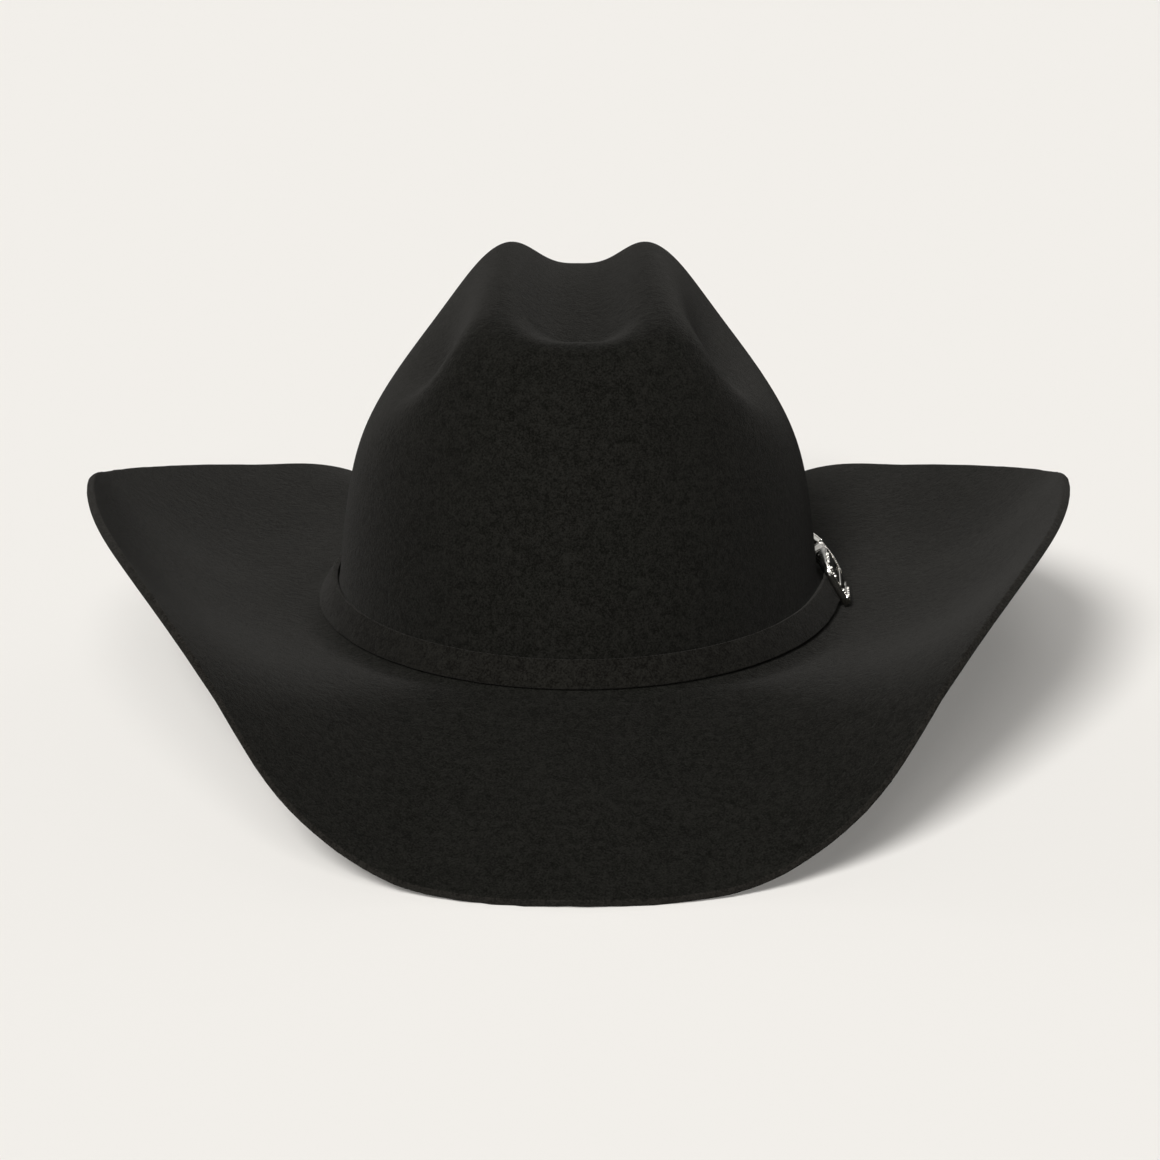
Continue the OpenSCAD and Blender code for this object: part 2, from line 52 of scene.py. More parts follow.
# The sloping sides: a plane's shares across, up and to the rear, and its reach
SLOPE_X, SLOPE_Z, SLOPE_Y, SLOPE_REACH = 0.775, 0.632, 0.055, 106
BLEND = 16.0  # how tightly wall, top and sides meet
# The dents: middle, shift up the slope, depth, and reach forwards, backwards and up
DENT_X, DENT_Y, DENT_Z, DENT_SHIFT = 47, -32, 103, 2
DENT_DEPTH, DENT_FRONT, DENT_REAR, DENT_UP = 10, 26, 56, 19
# The centre crease: depths, half width, and where it starts, ends, changes depth and fades
CREASE_FRONT, CREASE_REAR, CREASE_HALF = 15.0, 12.5, 19.0
CREASE_START, CREASE_END, CREASE_TURN, CREASE_FADE = (-80, -42), (80, 112), (-30, 60), (60, 100)
# The brim's mean slope in degrees at angles round from the front, and its width, more at the ends
KNOTS = [(0, -25.7), (12, -25.9), (22, -23), (32, -9.5), (42, 13), (55, 27), (72, 33.5),
         (90, 32.5), (105, 22.5), (120, 13), (135, 5), (150, -2), (165, -19.6), (180, -25.93)]
BRIM, BRIM_EXTRA = 90.0, 8.0
ROLL_ENDS, ROLL_SIDES = -8, 44  # how much the slope changes from the bend to the edge
# Depths below the felt's outer face
LINING_OUT, LINING_IN, LEATHER_OUT, LEATHER_IN = 3.2, 3.7, 4.3, 5.5


def sind(a):
    return np.sin(np.radians(a))


def cosd(a):
    return np.cos(np.radians(a))


def turns(n):
    return np.arange(n) * 360.0 / n


def circle(n):
    return 2 * np.pi * np.arange(n) / n


def unit(v):
    return v / np.linalg.norm(v, axis=-1, keepdims=True)


def smooth(x, a, b):
    t = np.clip((np.asarray(x, float) - a) / (b - a), 0, 1)
    return t * t * (3 - 2 * t)


def wall_axes(z, back):
    h = z - FOOT
    w = smooth(back, -0.4, 0.4)
    a = HALF_WIDTH - SIDE_LEAN * h - SIDE_CURVE * h * np.abs(h)
    b = (HALF_LENGTH - (END_LEAN - END_LEAN_LESS * w) * h
         - (END_CURVE - END_CURVE_LESS * w) * h * np.abs(h))
    return np.maximum(a, 20), np.maximum(b, 20)


def crown_point(turn, elev):
    """Outer face of the crown, seen from the ray centre: turn from the front, and elevation."""
    dx, dy, dz = cosd(elev) * sind(turn), -cosd(elev) * cosd(turn), sind(elev)
    wall = np.full(np.shape(elev), 90.0)
    top = np.full(np.shape(elev), 90.0)
    for _ in range(12):
        a, b = wall_axes(np.clip(RAY + wall * dz, -10, 140), dy)
        wall = (wall + np.minimum(400, 1 / np.sqrt((dx / a) ** 2 + (dy / b) ** 2 + 1e-12))) / 2
        y = np.clip(top * dy, -120, 120)
        high = RIDGE - TOP_CAMBER * (y - TOP_Y) ** 2 - RAY
        top = (top + np.minimum(1500, high / np.maximum(dz, 1e-3))) / 2
    face = SLOPE_X * np.abs(dx) + SLOPE_Z * dz + SLOPE_Y * dy
    side = (SLOPE_REACH - SLOPE_Z * RAY) / np.maximum(face, 0.01)
    q = np.minimum(side, 300)
    px, py, pz = q * np.abs(dx), q * dy, RAY + q * dz
    up = (pz - DENT_Z) * SLOPE_X - (px - DENT_X) * SLOPE_Z + DENT_SHIFT
    back = (py - DENT_Y) / np.where(py < DENT_Y, DENT_FRONT, DENT_REAR)
    side = side - DENT_DEPTH * np.exp(-back ** 2 - (up / DENT_UP) ** 2) / np.maximum(face, 0.3)
    r = (wall ** -BLEND + top ** -BLEND + side ** -BLEND) ** (-1 / BLEND)
    x, y, z = r * dx, r * dy, RAY + r * dz
    crease = (smooth(y, *CREASE_START) * (1 - smooth(y, *CREASE_END))
              * (CREASE_FRONT + (CREASE_REAR - CREASE_FRONT) * smooth(y, *CREASE_TURN))
              * np.exp(-(np.abs(x) / CREASE_HALF) ** 3) * smooth(z, *CREASE_FADE))
    return np.stack([x, y, z - crease], -1)


UP = np.array([0, 0, 1.0])


def facing(t):
    """Unit vector straight out from the hat's oval at t degrees round from the front."""
    return np.stack([sind(t), -cosd(t), 0 * t], -1)


def along(t):
    return np.stack([cosd(t), sind(t), 0 * t], -1)


def foot(t):
    """The place on the crown's oval foot that faces t."""
    a, b = HALF_WIDTH, HALF_LENGTH
    k = np.hypot(a * sind(t), b * cosd(t))
    return np.stack([a * a * sind(t) / k, -b * b * cosd(t) / k, FOOT + 0 * t], -1)


def crown(t, s, inset=0.0):
    """Rings of crown points in columns t, at shares s of the way up, sunk in by inset."""
    t, s = np.atleast_1d(np.asarray(t, float)), np.atleast_1d(np.asarray(s, float))
    f = foot(t)
    low = np.degrees(np.arctan2(FOOT - RAY, np.hypot(f[:, 0], f[:, 1])))
    elev = low[None] + (90 - low)[None] * s[:, None]
    turn = np.degrees(np.arctan2(f[:, 0], -f[:, 1]))[None] + 0 * elev
    near = 0.7  # degrees to the neighbours that give the normal
    n = unit(np.cross(crown_point(turn, elev - near) - crown_point(turn, elev + near),
                      crown_point(turn + near, elev) - crown_point(turn - near, elev)))
    return crown_point(turn, elev) - np.asarray(inset)[..., None] * n


def crown_tip(inset):
    return crown_point(np.array(0.0), np.array(90.0)) - [0, 0, inset]


def bend(t, angle, inset=0.0):
    """Points on the bend where the felt slopes by angle, shaped (rings, columns)."""
    out = BREAK * (sind(angle) - sind(TANGENT)) + inset * sind(angle)
    down = BREAK * (cosd(angle) - cosd(TANGENT)) + inset * cosd(angle)
    return foot(t)[None] + facing(t)[None] * out[..., None] - UP * down[..., None]


def mean_slope(t):
    side = np.where(t > 180, 360 - t, t)
    x = np.array([k[0] for k in KNOTS], float)
    y = np.array([k[1] for k in KNOTS], float)
    m = np.zeros(len(x))
    m[1:-1] = (y[2:] - y[:-2]) / (x[2:] - x[:-2])
    i = np.clip(np.searchsorted(x, side, side="right") - 1, 0, len(x) - 2)
    h = x[i + 1] - x[i]
    u = (side - x[i]) / h
    return ((2 * u ** 3 - 3 * u ** 2 + 1) * y[i] + (u ** 3 - 2 * u ** 2 + u) * h * m[i]
            + (3 * u ** 2 - 2 * u ** 3) * y[i + 1] + (u ** 3 - u ** 2) * h * m[i + 1])


def slope_at(t, v):
    """Slope at share v of the brim's width."""
    roll = ROLL_ENDS * cosd(t) ** 2 + ROLL_SIDES * sind(t) ** 2
    return mean_slope(t) + roll * (smooth(v, 0, 1) - 0.5)


def brim(t, v, inset=0.0, beyond=0.0):
    """Rings of brim points at shares v of its width, sunk in by inset, moved out by beyond."""
    v = np.atleast_1d(np.asarray(v, float))[:, None]
    parts = 24
    k = (np.arange(parts) + 0.5) / parts
    a = slope_at(t[None, None], v[:, None] * k[None, :, None])
    step = (BRIM + BRIM_EXTRA * cosd(t)[None] ** 2) * v / parts
    end = slope_at(t[None], v)
    run = cosd(a).sum(1) * step + inset * sind(end) + beyond * cosd(end)
    rise = sind(a).sum(1) * step - inset * cosd(end) + beyond * sind(end)
    start = bend(t, slope_at(t[None], 0.0), 0.0)
    return start + facing(t)[None] * run[..., None] + UP * rise[..., None]


CAD_TURNS = np.arange(64) * 360 / 64
LIFT = -brim(CAD_TURNS, 1, EDGE_FELT)[..., 2].min()
RIM = brim(CAD_TURNS, 1)[..., 1]
MIDDLE = (RIM.max() + RIM.min()) / 2


def noise_loop(t, seed, low, high):
    """Smooth random wave round a loop, about -1 to 1, with low to high waves per turn."""
    count = 24
    rng = np.random.RandomState(seed)
    k, p = rng.randint(low, high + 1, count), rng.uniform(0, 2 * np.pi, count)
    return sum(np.cos(np.radians(t) * a + b) for a, b in zip(k, p)) / math.sqrt(count / 2) / 1.6


# ---- Mesh helpers
FLAT = ("flat", "flat")


def grid_faces(rows, columns, wrap_rows=False):
    r, c = np.meshgrid(np.arange(rows if wrap_rows else rows - 1), np.arange(columns), indexing="ij")
    r2, c2 = (r + 1) % rows, (c + 1) % columns
    q = np.stack([r * columns + c, r * columns + c2, r2 * columns + c2, r2 * columns + c], -1)
    return q.reshape(-1, 4).tolist()


class Builder:
    """Collects points, in millimetres, and faces with their material numbers."""

    def __init__(self):
        self.points, self.faces, self.paint, self.count = [], [], [], 0

    def add(self, points, faces, paint=0):
        points = np.asarray(points, float).reshape(-1, 3)
        base = self.count
        self.points.append(points)
        self.faces += [[base + i for i in f] for f in faces]
        self.paint += [paint] * len(faces)
        self.count += len(points)
        return base

    def rings(self, rings, paint=0, wrap_rows=False, ends=(None, None)):
        """A strip of rings; ends are middle points that close it, "flat" for a flat end, or None."""
        rings = np.asarray(rings, float)
        m, n = rings.shape[:2]
        base = self.add(rings, grid_faces(m, n, wrap_rows), paint)
        for row, end, back in ((0, ends[0], False), (m - 1, ends[1], True)):
            if end is None:
                continue
            ring = [base + row * n + i for i in range(n)]
            if isinstance(end, str):
                self.faces.append(ring[::-1] if not back else ring)
                self.paint.append(paint)
                continue
            mid = self.add([end], [])
            for i in range(n):
                f = [ring[(i + 1) % n], ring[i], mid]
                self.faces.append(f[::-1] if back else f)
                self.paint.append(paint)

    def sheet(self, face, back):
        """A thin strip with two faces and flat ends."""
        self.rings(np.concatenate([face, back[:, ::-1]], 1), ends=FLAT)

    def repaint(self, rows, columns, where):
        """Gives the second material to a strip's faces where where(row, column) holds."""
        for k in range(rows * columns):
            if where(k // columns, k % columns):
                self.paint[k] = 1

    def make(self, name, body, materials, sharp=None):
        p = np.concatenate(self.points) + [0, -MIDDLE, LIFT]
        mesh = bpy.data.meshes.new(name)
        mesh.from_pydata((p / 1000).tolist(), [], self.faces)
        mesh.polygons.foreach_set("material_index", self.paint)
        b = bmesh.new()
        b.from_mesh(mesh)
        bmesh.ops.recalc_face_normals(b, faces=b.faces[:])
        b.to_mesh(mesh)
        b.free()
        mesh.polygons.foreach_set("use_smooth", [True] * len(mesh.polygons))
        if sharp is not None:
            mesh.set_sharp_from_angle(angle=math.radians(sharp))
        for m in materials:
            mesh.materials.append(m)
        mesh.update()
        o = bpy.data.objects.new(name, mesh)
        bpy.context.scene.collection.objects.link(o)
        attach(o, body)
        return o


def frames_on(path, closed=False, up=(0, 0, 1.0)):
    """Two unit vectors across a path of points, kept near the given up direction."""
    path = np.asarray(path, float)
    if closed:
        run = np.roll(path, -1, 0) - np.roll(path, 1, 0)
    else:
        run = np.gradient(path, axis=0)
    run /= np.linalg.norm(run, axis=1, keepdims=True) + 1e-12
    up = np.broadcast_to(np.asarray(up, float), path.shape)
    side = np.cross(run, up)
    side /= np.linalg.norm(side, axis=1, keepdims=True) + 1e-12
    return side, np.cross(side, run)


def tube(builder, path, radius, sides=8, closed=False, up=(0, 0, 1.0), paint=0, flat=1.0):
    """A round tube, with a radius along it; flat squeezes it in the up direction."""
    path = np.asarray(path, float)
    radius = np.broadcast_to(np.asarray(radius, float), (len(path),))
    side, top = frames_on(path, closed, up)
    q = circle(sides)[None, :, None]
    rings = (path[:, None] + radius[:, None, None]
             * (np.cos(q) * side[:, None] + flat * np.sin(q) * top[:, None]))
    ends = (None, None) if closed else (path[0], path[-1])
    builder.rings(rings, paint, wrap_rows=closed, ends=ends)


def capsules(builder, start, end, radius, out, sink, paint=0):
    """Many short rounded stitches at once, from start to end points, bulging along out."""
    start, end, out = (np.asarray(x, float) for x in (start, end, out))
    run = end - start
    side = unit(np.cross(run, out))
    sides = 6
    q = circle(sides)
    share = np.array([0.0, 0.08, 0.3, 0.7, 0.92, 1.0])
    size = np.array([0.35, 0.8, 1, 1, 0.8, 0.35])
    lift = np.array([-1.0, -0.35, 0.1, 0.1, -0.35, -1.0])
    mid = (start[:, None] + run[:, None] * share[None, :, None]
           + out[:, None] * ((lift - sink) * radius)[None, :, None])
    pts = (mid[:, :, None] + radius * size[None, :, None, None]
           * (np.cos(q)[None, None, :, None] * side[:, None, None]
              + np.sin(q)[None, None, :, None] * out[:, None, None]))
    n, m = len(start), len(share)
    one = grid_faces(m, sides) + [list(range(sides))[::-1], [(m - 1) * sides + i for i in range(sides)]]
    faces = []
    for k in range(n):
        faces += [[k * m * sides + i for i in f] for f in one]
    builder.add(pts, faces, paint)


# ---- Materials
def fill(n, **inputs):
    """Links a node's inputs to other nodes' outputs, or sets them. Their names have _ for a space,
    and a colour is three numbers."""
    for key, value in inputs.items():
        socket = n.inputs[key.replace("_", " ")]
        if isinstance(value, bpy.types.NodeSocket):
            n.id_data.links.new(value, socket)
        else:
            socket.default_value = (*value, 1) if socket.type == "RGBA" else value
    return n


def node(tree, kind, **inputs):
    return fill(tree.nodes.new("ShaderNode" + kind), **inputs)


def ramp(tree, value, stops):
    n = node(tree, "ValToRGB", Fac=value)
    e = n.color_ramp.elements
    while len(e) < len(stops):
        e.new(0.5)
    for k, (place, colour) in enumerate(stops):
        e[k].position = place
        e[k].color = (*colour, 1)
    return n.outputs["Color"]


class Paint:
    """A procedural material: noise and wave textures in object space on one Principled shader."""

    def __init__(self, name, rough, metal=0.0, specular=0.5, **fixed):
        self.m = bpy.data.materials.new(name)
        self.m.use_nodes = True
        self.tree = self.m.node_tree
        self.shader = self.tree.nodes["Principled BSDF"]
        fill(self.shader, Roughness=rough, Metallic=metal, Specular_IOR_Level=specular, **fixed)
        self.where = self.node("TexCoord", "Object")
        self.height = None

    def node(self, kind, output, **inputs):
        return node(self.tree, kind, **inputs).outputs[output]

    def stretch(self, scale, turn=(0, 0, 0)):
        return self.node("Mapping", "Vector", Scale=scale, Rotation=turn, Vector=self.where)

    def noise(self, scale, detail=3.0, rough=0.55, at=None, distortion=0.0):
        return self.node("TexNoise", "Fac", Scale=scale, Detail=detail, Roughness=rough,
                         Distortion=distortion, Vector=at or self.where)

    def cells(self, scale):
        return self.node("TexVoronoi", "Distance", Scale=scale, Vector=self.where)

    def wave(self, scale, direction, distortion, at=None):
        n = node(self.tree, "TexWave", Scale=scale, Distortion=distortion, Vector=at or self.where)
        n.bands_direction = direction
        return n.outputs["Fac"]

    def ramp(self, value, stops):
        return ramp(self.tree, value, stops)

    def math(self, how, a, b):
        n = node(self.tree, "Math")
        n.operation = how
        for socket, value in zip(n.inputs, (a, b)):
            if isinstance(value, float):
                socket.default_value = value
            else:
                self.tree.links.new(value, socket)
        return n.outputs[0]

    def mix(self, a, b, share):
        """From one colour, linked, to another, fixed."""
        n = node(self.tree, "Mix")
        n.data_type = "RGBA"
        self.tree.links.new(share, n.inputs[0])
        self.tree.links.new(a, n.inputs[6])
        n.inputs[7].default_value = (*b, 1)
        return n.outputs[2]

    def colour(self, value):
        fill(self.shader, Base_Color=value)

    def rough(self, value):
        fill(self.shader, Roughness=value)

    def span(self, value, low, high):
        return self.node("MapRange", "Result", To_Min=low, To_Max=high, Value=value)

    def bump(self, value, strength, distance):
        """Adds a bump on top of the bumps so far."""
        before = {} if self.height is None else {"Normal": self.height}
        self.height = self.node("Bump", "Normal", Strength=strength, Distance=distance,
                                Height=value, **before)
        fill(self.shader, Normal=self.height)


def felt_paint(name, dark, light, nap=1.0):
    p = Paint(name, rough=0.92, specular=0.0, Sheen_Weight=0.034, Sheen_Roughness=0.5,
              Sheen_Tint=(1.0, 0.97, 0.92))
    fibres = p.noise(1500, 5, 0.62)
    clumps = p.noise(420, 4, 0.6, distortion=0.6)
    brushed = p.noise(60, 5, 0.6, at=p.stretch((1, 1, 2.2)), distortion=1.2)
    both = p.math("ADD", p.math("MULTIPLY", fibres, 0.6),
                  p.math("ADD", p.math("MULTIPLY", clumps, 0.3), p.math("MULTIPLY", brushed, 0.1)))
    p.colour(p.ramp(both, [(0.42, dark), (0.50, tuple((a + b) / 2 for a, b in zip(dark, light))),
                           (0.58, light)]))
    p.rough(p.span(clumps, 0.84, 1.0))
    p.bump(brushed, 0.25 * nap, 0.0006)
    p.bump(clumps, 0.7 * nap, 0.0006)
    p.bump(fibres, 0.8 * nap, 0.0004)
    return p.m


felt = felt_paint("felt", (0.0036, 0.0036, 0.0029), (0.0109, 0.0106, 0.0091))
felt_cut = felt_paint("felt_cut_edge", (0.0061, 0.0057, 0.0049), (0.0175, 0.0161, 0.0140), 1.6)
strap_felt = felt_paint("strap_felt", (0.0039, 0.0036, 0.0030), (0.0119, 0.0114, 0.0097), 1.1)
strap_cut = felt_paint("strap_cut_edge", (0.0061, 0.0057, 0.0049), (0.0166, 0.0156, 0.0135), 1.6)


def leather_paint(name, dark, light, scale=900):
    p = Paint(name, rough=0.42, specular=0.45, Coat_Weight=0.08, Coat_Roughness=0.3)
    pores = p.cells(scale)
    soft = p.noise(scale * 0.35, 4, 0.6)
    wear = p.noise(45, 4, 0.6)
    p.colour(p.mix(p.ramp(soft, [(0.3, dark), (0.7, light)]), tuple(c * 1.6 for c in light),
                   p.span(wear, 0.0, 0.35)))
    p.rough(p.span(wear, 0.34, 0.56))
    p.bump(pores, 0.35, 0.00025)
    p.bump(soft, 0.25, 0.0002)
    return p.m


leather = leather_paint("sweatband_leather", (0.012, 0.010, 0.009), (0.026, 0.021, 0.018))
tape = leather_paint("tape_leather", (0.010, 0.009, 0.008), (0.020, 0.017, 0.015), 1300)


def satin_paint(name, dark, light, turn):
    p = Paint(name, rough=0.34, specular=0.5, Sheen_Weight=0.12, Sheen_Roughness=0.3,
              Anisotropic=0.5)
    fine = p.wave(1400, "X", 0.6, p.stretch((1, 1, 1), turn))
    cross = p.wave(900, "Y", 0.6, p.stretch((1, 1, 1), turn))
    slub = p.noise(160, 4, 0.6, at=p.stretch((1, 5, 1), turn))
    p.colour(p.mix(p.ramp(slub, [(0.3, dark), (0.7, light)]), tuple(c * 1.35 for c in light),
                   p.span(fine, 0.0, 0.4)))
    p.rough(p.span(slub, 0.28, 0.42))
    p.bump(fine, 0.16, 0.00008)
    p.bump(cross, 0.1, 0.00006)
    return p.m


LINING_COLOURS = (0.030, 0.030, 0.033), (0.052, 0.052, 0.057)
satin = satin_paint("lining_satin", *LINING_COLOURS, (0, 0, 0.3))
satin_top = satin_paint("lining_tip_satin", *LINING_COLOURS, (0, 0, 0.9))
ribbon = satin_paint("bow_ribbon", (0.010, 0.010, 0.011), (0.022, 0.022, 0.024), (0, 1.57, 0))


def thread_paint(name, dark, light):
    p = Paint(name, rough=0.6, specular=0.35, Sheen_Weight=0.1)
    ply = p.wave(900, "DIAGONAL", 1.0)
    fuzz = p.noise(1800, 4)
    p.colour(p.ramp(p.math("ADD", p.math("MULTIPLY", ply, 0.5), p.math("MULTIPLY", fuzz, 0.5)),
                    [(0.3, dark), (0.7, light)]))
    p.bump(ply, 0.5, 0.0001)
    return p.m


thread = thread_paint("thread", (0.012, 0.011, 0.010), (0.035, 0.032, 0.029))
strap_thread = thread_paint("strap_thread", (0.008, 0.008, 0.007), (0.022, 0.021, 0.019))


def silver_paint(name, colour, rough, tarnish):
    p = Paint(name, rough=rough, metal=1.0)
    cloud = p.noise(320, 5, 0.6)
    marks = p.noise(900, 3, 0.5, at=p.stretch((1, 9, 1), (0.4, 0.3, 0.8)))
    p.colour(p.ramp(cloud, [(0.32, tuple(c * tarnish for c in colour)), (0.62, colour)]))
    p.rough(p.span(marks, rough * 0.7, rough * 1.5))
    p.bump(marks, 0.05, 0.00005)
    return p.m


silver = silver_paint("silver", (0.86, 0.84, 0.79), 0.13, 0.86)
silver_dark = silver_paint("silver_recess", (0.10, 0.095, 0.088), 0.42, 0.45)
steel = silver_paint("plain_steel", (0.48, 0.48, 0.48), 0.3, 0.8)

film = Paint("clear_film", rough=0.08, Alpha=0.16)
film.colour((0.9, 0.9, 0.9))
film.bump(film.noise(38, 3, 0.5), 0.12, 0.0006)
film.rough(film.span(film.noise(300, 3), 0.05, 0.14))

cord_plastic = Paint("reed_plastic", rough=0.45)
cord_plastic.colour(cord_plastic.ramp(cord_plastic.noise(240, 3), [(0.3, (0.50, 0.45, 0.35)),
                                                                  (0.7, (0.60, 0.55, 0.44))]))
cord_plastic.bump(cord_plastic.noise(700, 2), 0.1, 0.0001)

label_cloth = Paint("label_cloth", rough=0.8, specular=0.2, Sheen_Weight=0.15)
weave = label_cloth.math("MULTIPLY", label_cloth.wave(1100, "Z", 0.4), label_cloth.wave(1100, "X", 0.4))
label_cloth.colour(label_cloth.ramp(weave, [(0.05, (0.52, 0.51, 0.47)), (0.7, (0.76, 0.74, 0.69))]))
label_cloth.bump(weave, 0.4, 0.00012)

# ---- Felt body: outer face, rounded cut edge and inner face in one closed surface
COLUMNS = 288
CROWN_ROWS, BEND_ROWS, BRIM_ROWS = 104, 14, 52


def felt_face(deep):
    """Rings of one face from the crown's top to the brim's edge: the outer at deep 0, the inner at 1."""
    t = turns(COLUMNS)
    top = 1 - (np.arange(1, CROWN_ROWS + 1) / CROWN_ROWS)
    a0 = slope_at(t[None], 0.0)
    share = (np.arange(1, BEND_ROWS + 1) / BEND_ROWS)[:, None]
    v = np.arange(1, BRIM_ROWS) / BRIM_ROWS
    thick = CROWN_FELT + (EDGE_FELT - CROWN_FELT) * v
    return [crown(t, top, deep * CROWN_FELT), bend(t, TANGENT + (a0 - TANGENT) * share, deep * CROWN_FELT),
            brim(t, v, deep * thick[:, None])]


def felt_body():
    t = turns(COLUMNS)
    r = 0.55  # how round the edge's corners are
    edge = []  # inset, place beyond the brim, share of roughness
    rough = 0.10 * noise_loop(t, 5, 20, 120) + 0.05 * noise_loop(t, 6, 90, 143)
    for q in np.radians([0, 25, 50, 75]):
        edge.append((r * (1 - np.cos(q)), -r + r * np.sin(q), 0.2 + 0.8 * np.sin(q)))
    for k in (0.0, 0.2, 0.4, 0.6, 0.8, 1.0):
        edge.append((r + (EDGE_FELT - 2 * r) * k, 0.14 * np.sin(np.pi * k), 1.0))
    for q in np.radians([75, 50, 25, 0]):
        edge.append((EDGE_FELT - r * (1 - np.cos(q)), -r + r * np.sin(q), 0.2 + 0.8 * np.sin(q)))
    wander = noise_loop(t, 9, 40, 130)
    rows = [brim(t, 1, inset, beyond + (rough + 0.05 * wander * np.sin(3 * inset)) * share)[0]
            for inset, beyond, share in edge]
    b = Builder()
    rings = np.concatenate(felt_face(0) + [np.array(rows)] + [f[::-1] for f in felt_face(1)[::-1]])
    b.rings(rings, ends=(crown_tip(0), crown_tip(CROWN_FELT)))
    first = CROWN_ROWS + BEND_ROWS + BRIM_ROWS - 1
    b.repaint(len(rings) - 1, COLUMNS, lambda row, column: first <= row < first + len(rows) - 1)
    o = b.make("felt_hat_body", "hat", [felt, felt_cut])
    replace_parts(o, "felt_body")


felt_body()

# ---- Sweatband, reed, tape, stitches, rear join and bow
SWEAT_TOP, REED_ANGLE, REED_DEPTH = 0.25, -38.0, 4.9


def leather_grid(t, inset):
    rows = 60
    s = SWEAT_TOP * (1 - np.arange(rows) / rows)
    depth = np.full(rows, float(inset))
    if inset == LEATHER_IN:  # two pressed lines below the upper edge
        for line in (0.012, 0.026):
            depth -= 0.28 * np.exp(-(((SWEAT_TOP - s) - line) / 0.0028) ** 2)
    a = np.linspace(-80, -42, 9)[:, None] + 0 * t[None]
    return np.concatenate([crown(t, s, depth[:, None]), bend(t, a, inset)])


def sweatband():
    t = turns(288)
    outer, inner = leather_grid(t, LEATHER_OUT), leather_grid(t, LEATHER_IN)
    top = np.array([outer[0] + (inner[0] - outer[0]) * k + [0, 0, 0.35 * math.sin(math.pi * k)]
                    for k in (0.15, 0.35, 0.5, 0.65, 0.85)])
    b = Builder()
    b.rings(np.concatenate([outer[::-1], top, inner]), wrap_rows=True)
    o = b.make("sweatband_leather", "hat", [leather])
    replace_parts(o, "sweatband")

    # The tape is sewn to the leather just above the reed
    n = 156
    u = (np.arange(n) + 0.5) * 360 / n
    f = 0.32 * 360 / n
    b = Builder()
    level = np.full((1, n), -56.0) + 0.25 * noise_loop(u, 3, 20, 70)[None]
    normal = facing(u) * sind(level[0])[:, None] - UP * cosd(level[0])[:, None]
    capsules(b, bend(u - f, level, LEATHER_IN)[0], bend(u + f, level, LEATHER_IN)[0], 0.27, normal,
             sink=-0.5)
    b.make("sweatband_stitches", "hat", [thread])

    # Rear join: the leather's two ends meet and are laced with a zigzag
    b = Builder()
    s = np.linspace(0.015, 0.235, 19)
    side = np.where(np.arange(19) % 2 == 0, -1.1, 1.1)
    path = np.array([crown(np.array([180 + d]), np.array([k]), LEATHER_IN + 0.18)[0, 0]
                     for d, k in zip(side, s)])
    fine = np.concatenate([path[i] + (path[i + 1] - path[i]) * np.linspace(0, 1, 5)[:-1, None]
                           for i in range(18)] + [path[-1:]])
    tube(b, fine, 0.26, 6, up=(0, 1.0, 0))
    gap = crown(np.array([180.0]), np.linspace(0.004, 0.246, 30), LEATHER_IN + 0.03)[:, 0]
    tube(b, gap, 0.16, 6, up=(0, 1.0, 0), paint=1)
    b.make("sweatband_join", "hat", [thread, tape])


sweatband()


def reed_and_tape():
    t = turns(288)
    line = bend(t, np.full((1, 288), REED_ANGLE), REED_DEPTH)[0]
    b = Builder()
    tube(b, line, 0.74, 12, closed=True)
    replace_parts(b.make("reed_cord", "hat", [cord_plastic.m]), "sweatband_reed")
    b = Builder()
    t = turns(720)
    line = bend(t, np.full((1, 720), REED_ANGLE), REED_DEPTH)[0]
    tube(b, line, 1.12 + 0.035 * np.cos(np.radians(t) * 180), 12, closed=True)
    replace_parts(b.make("reed_tape_wrap", "hat", [tape]), "reed_tape")


reed_and_tape()


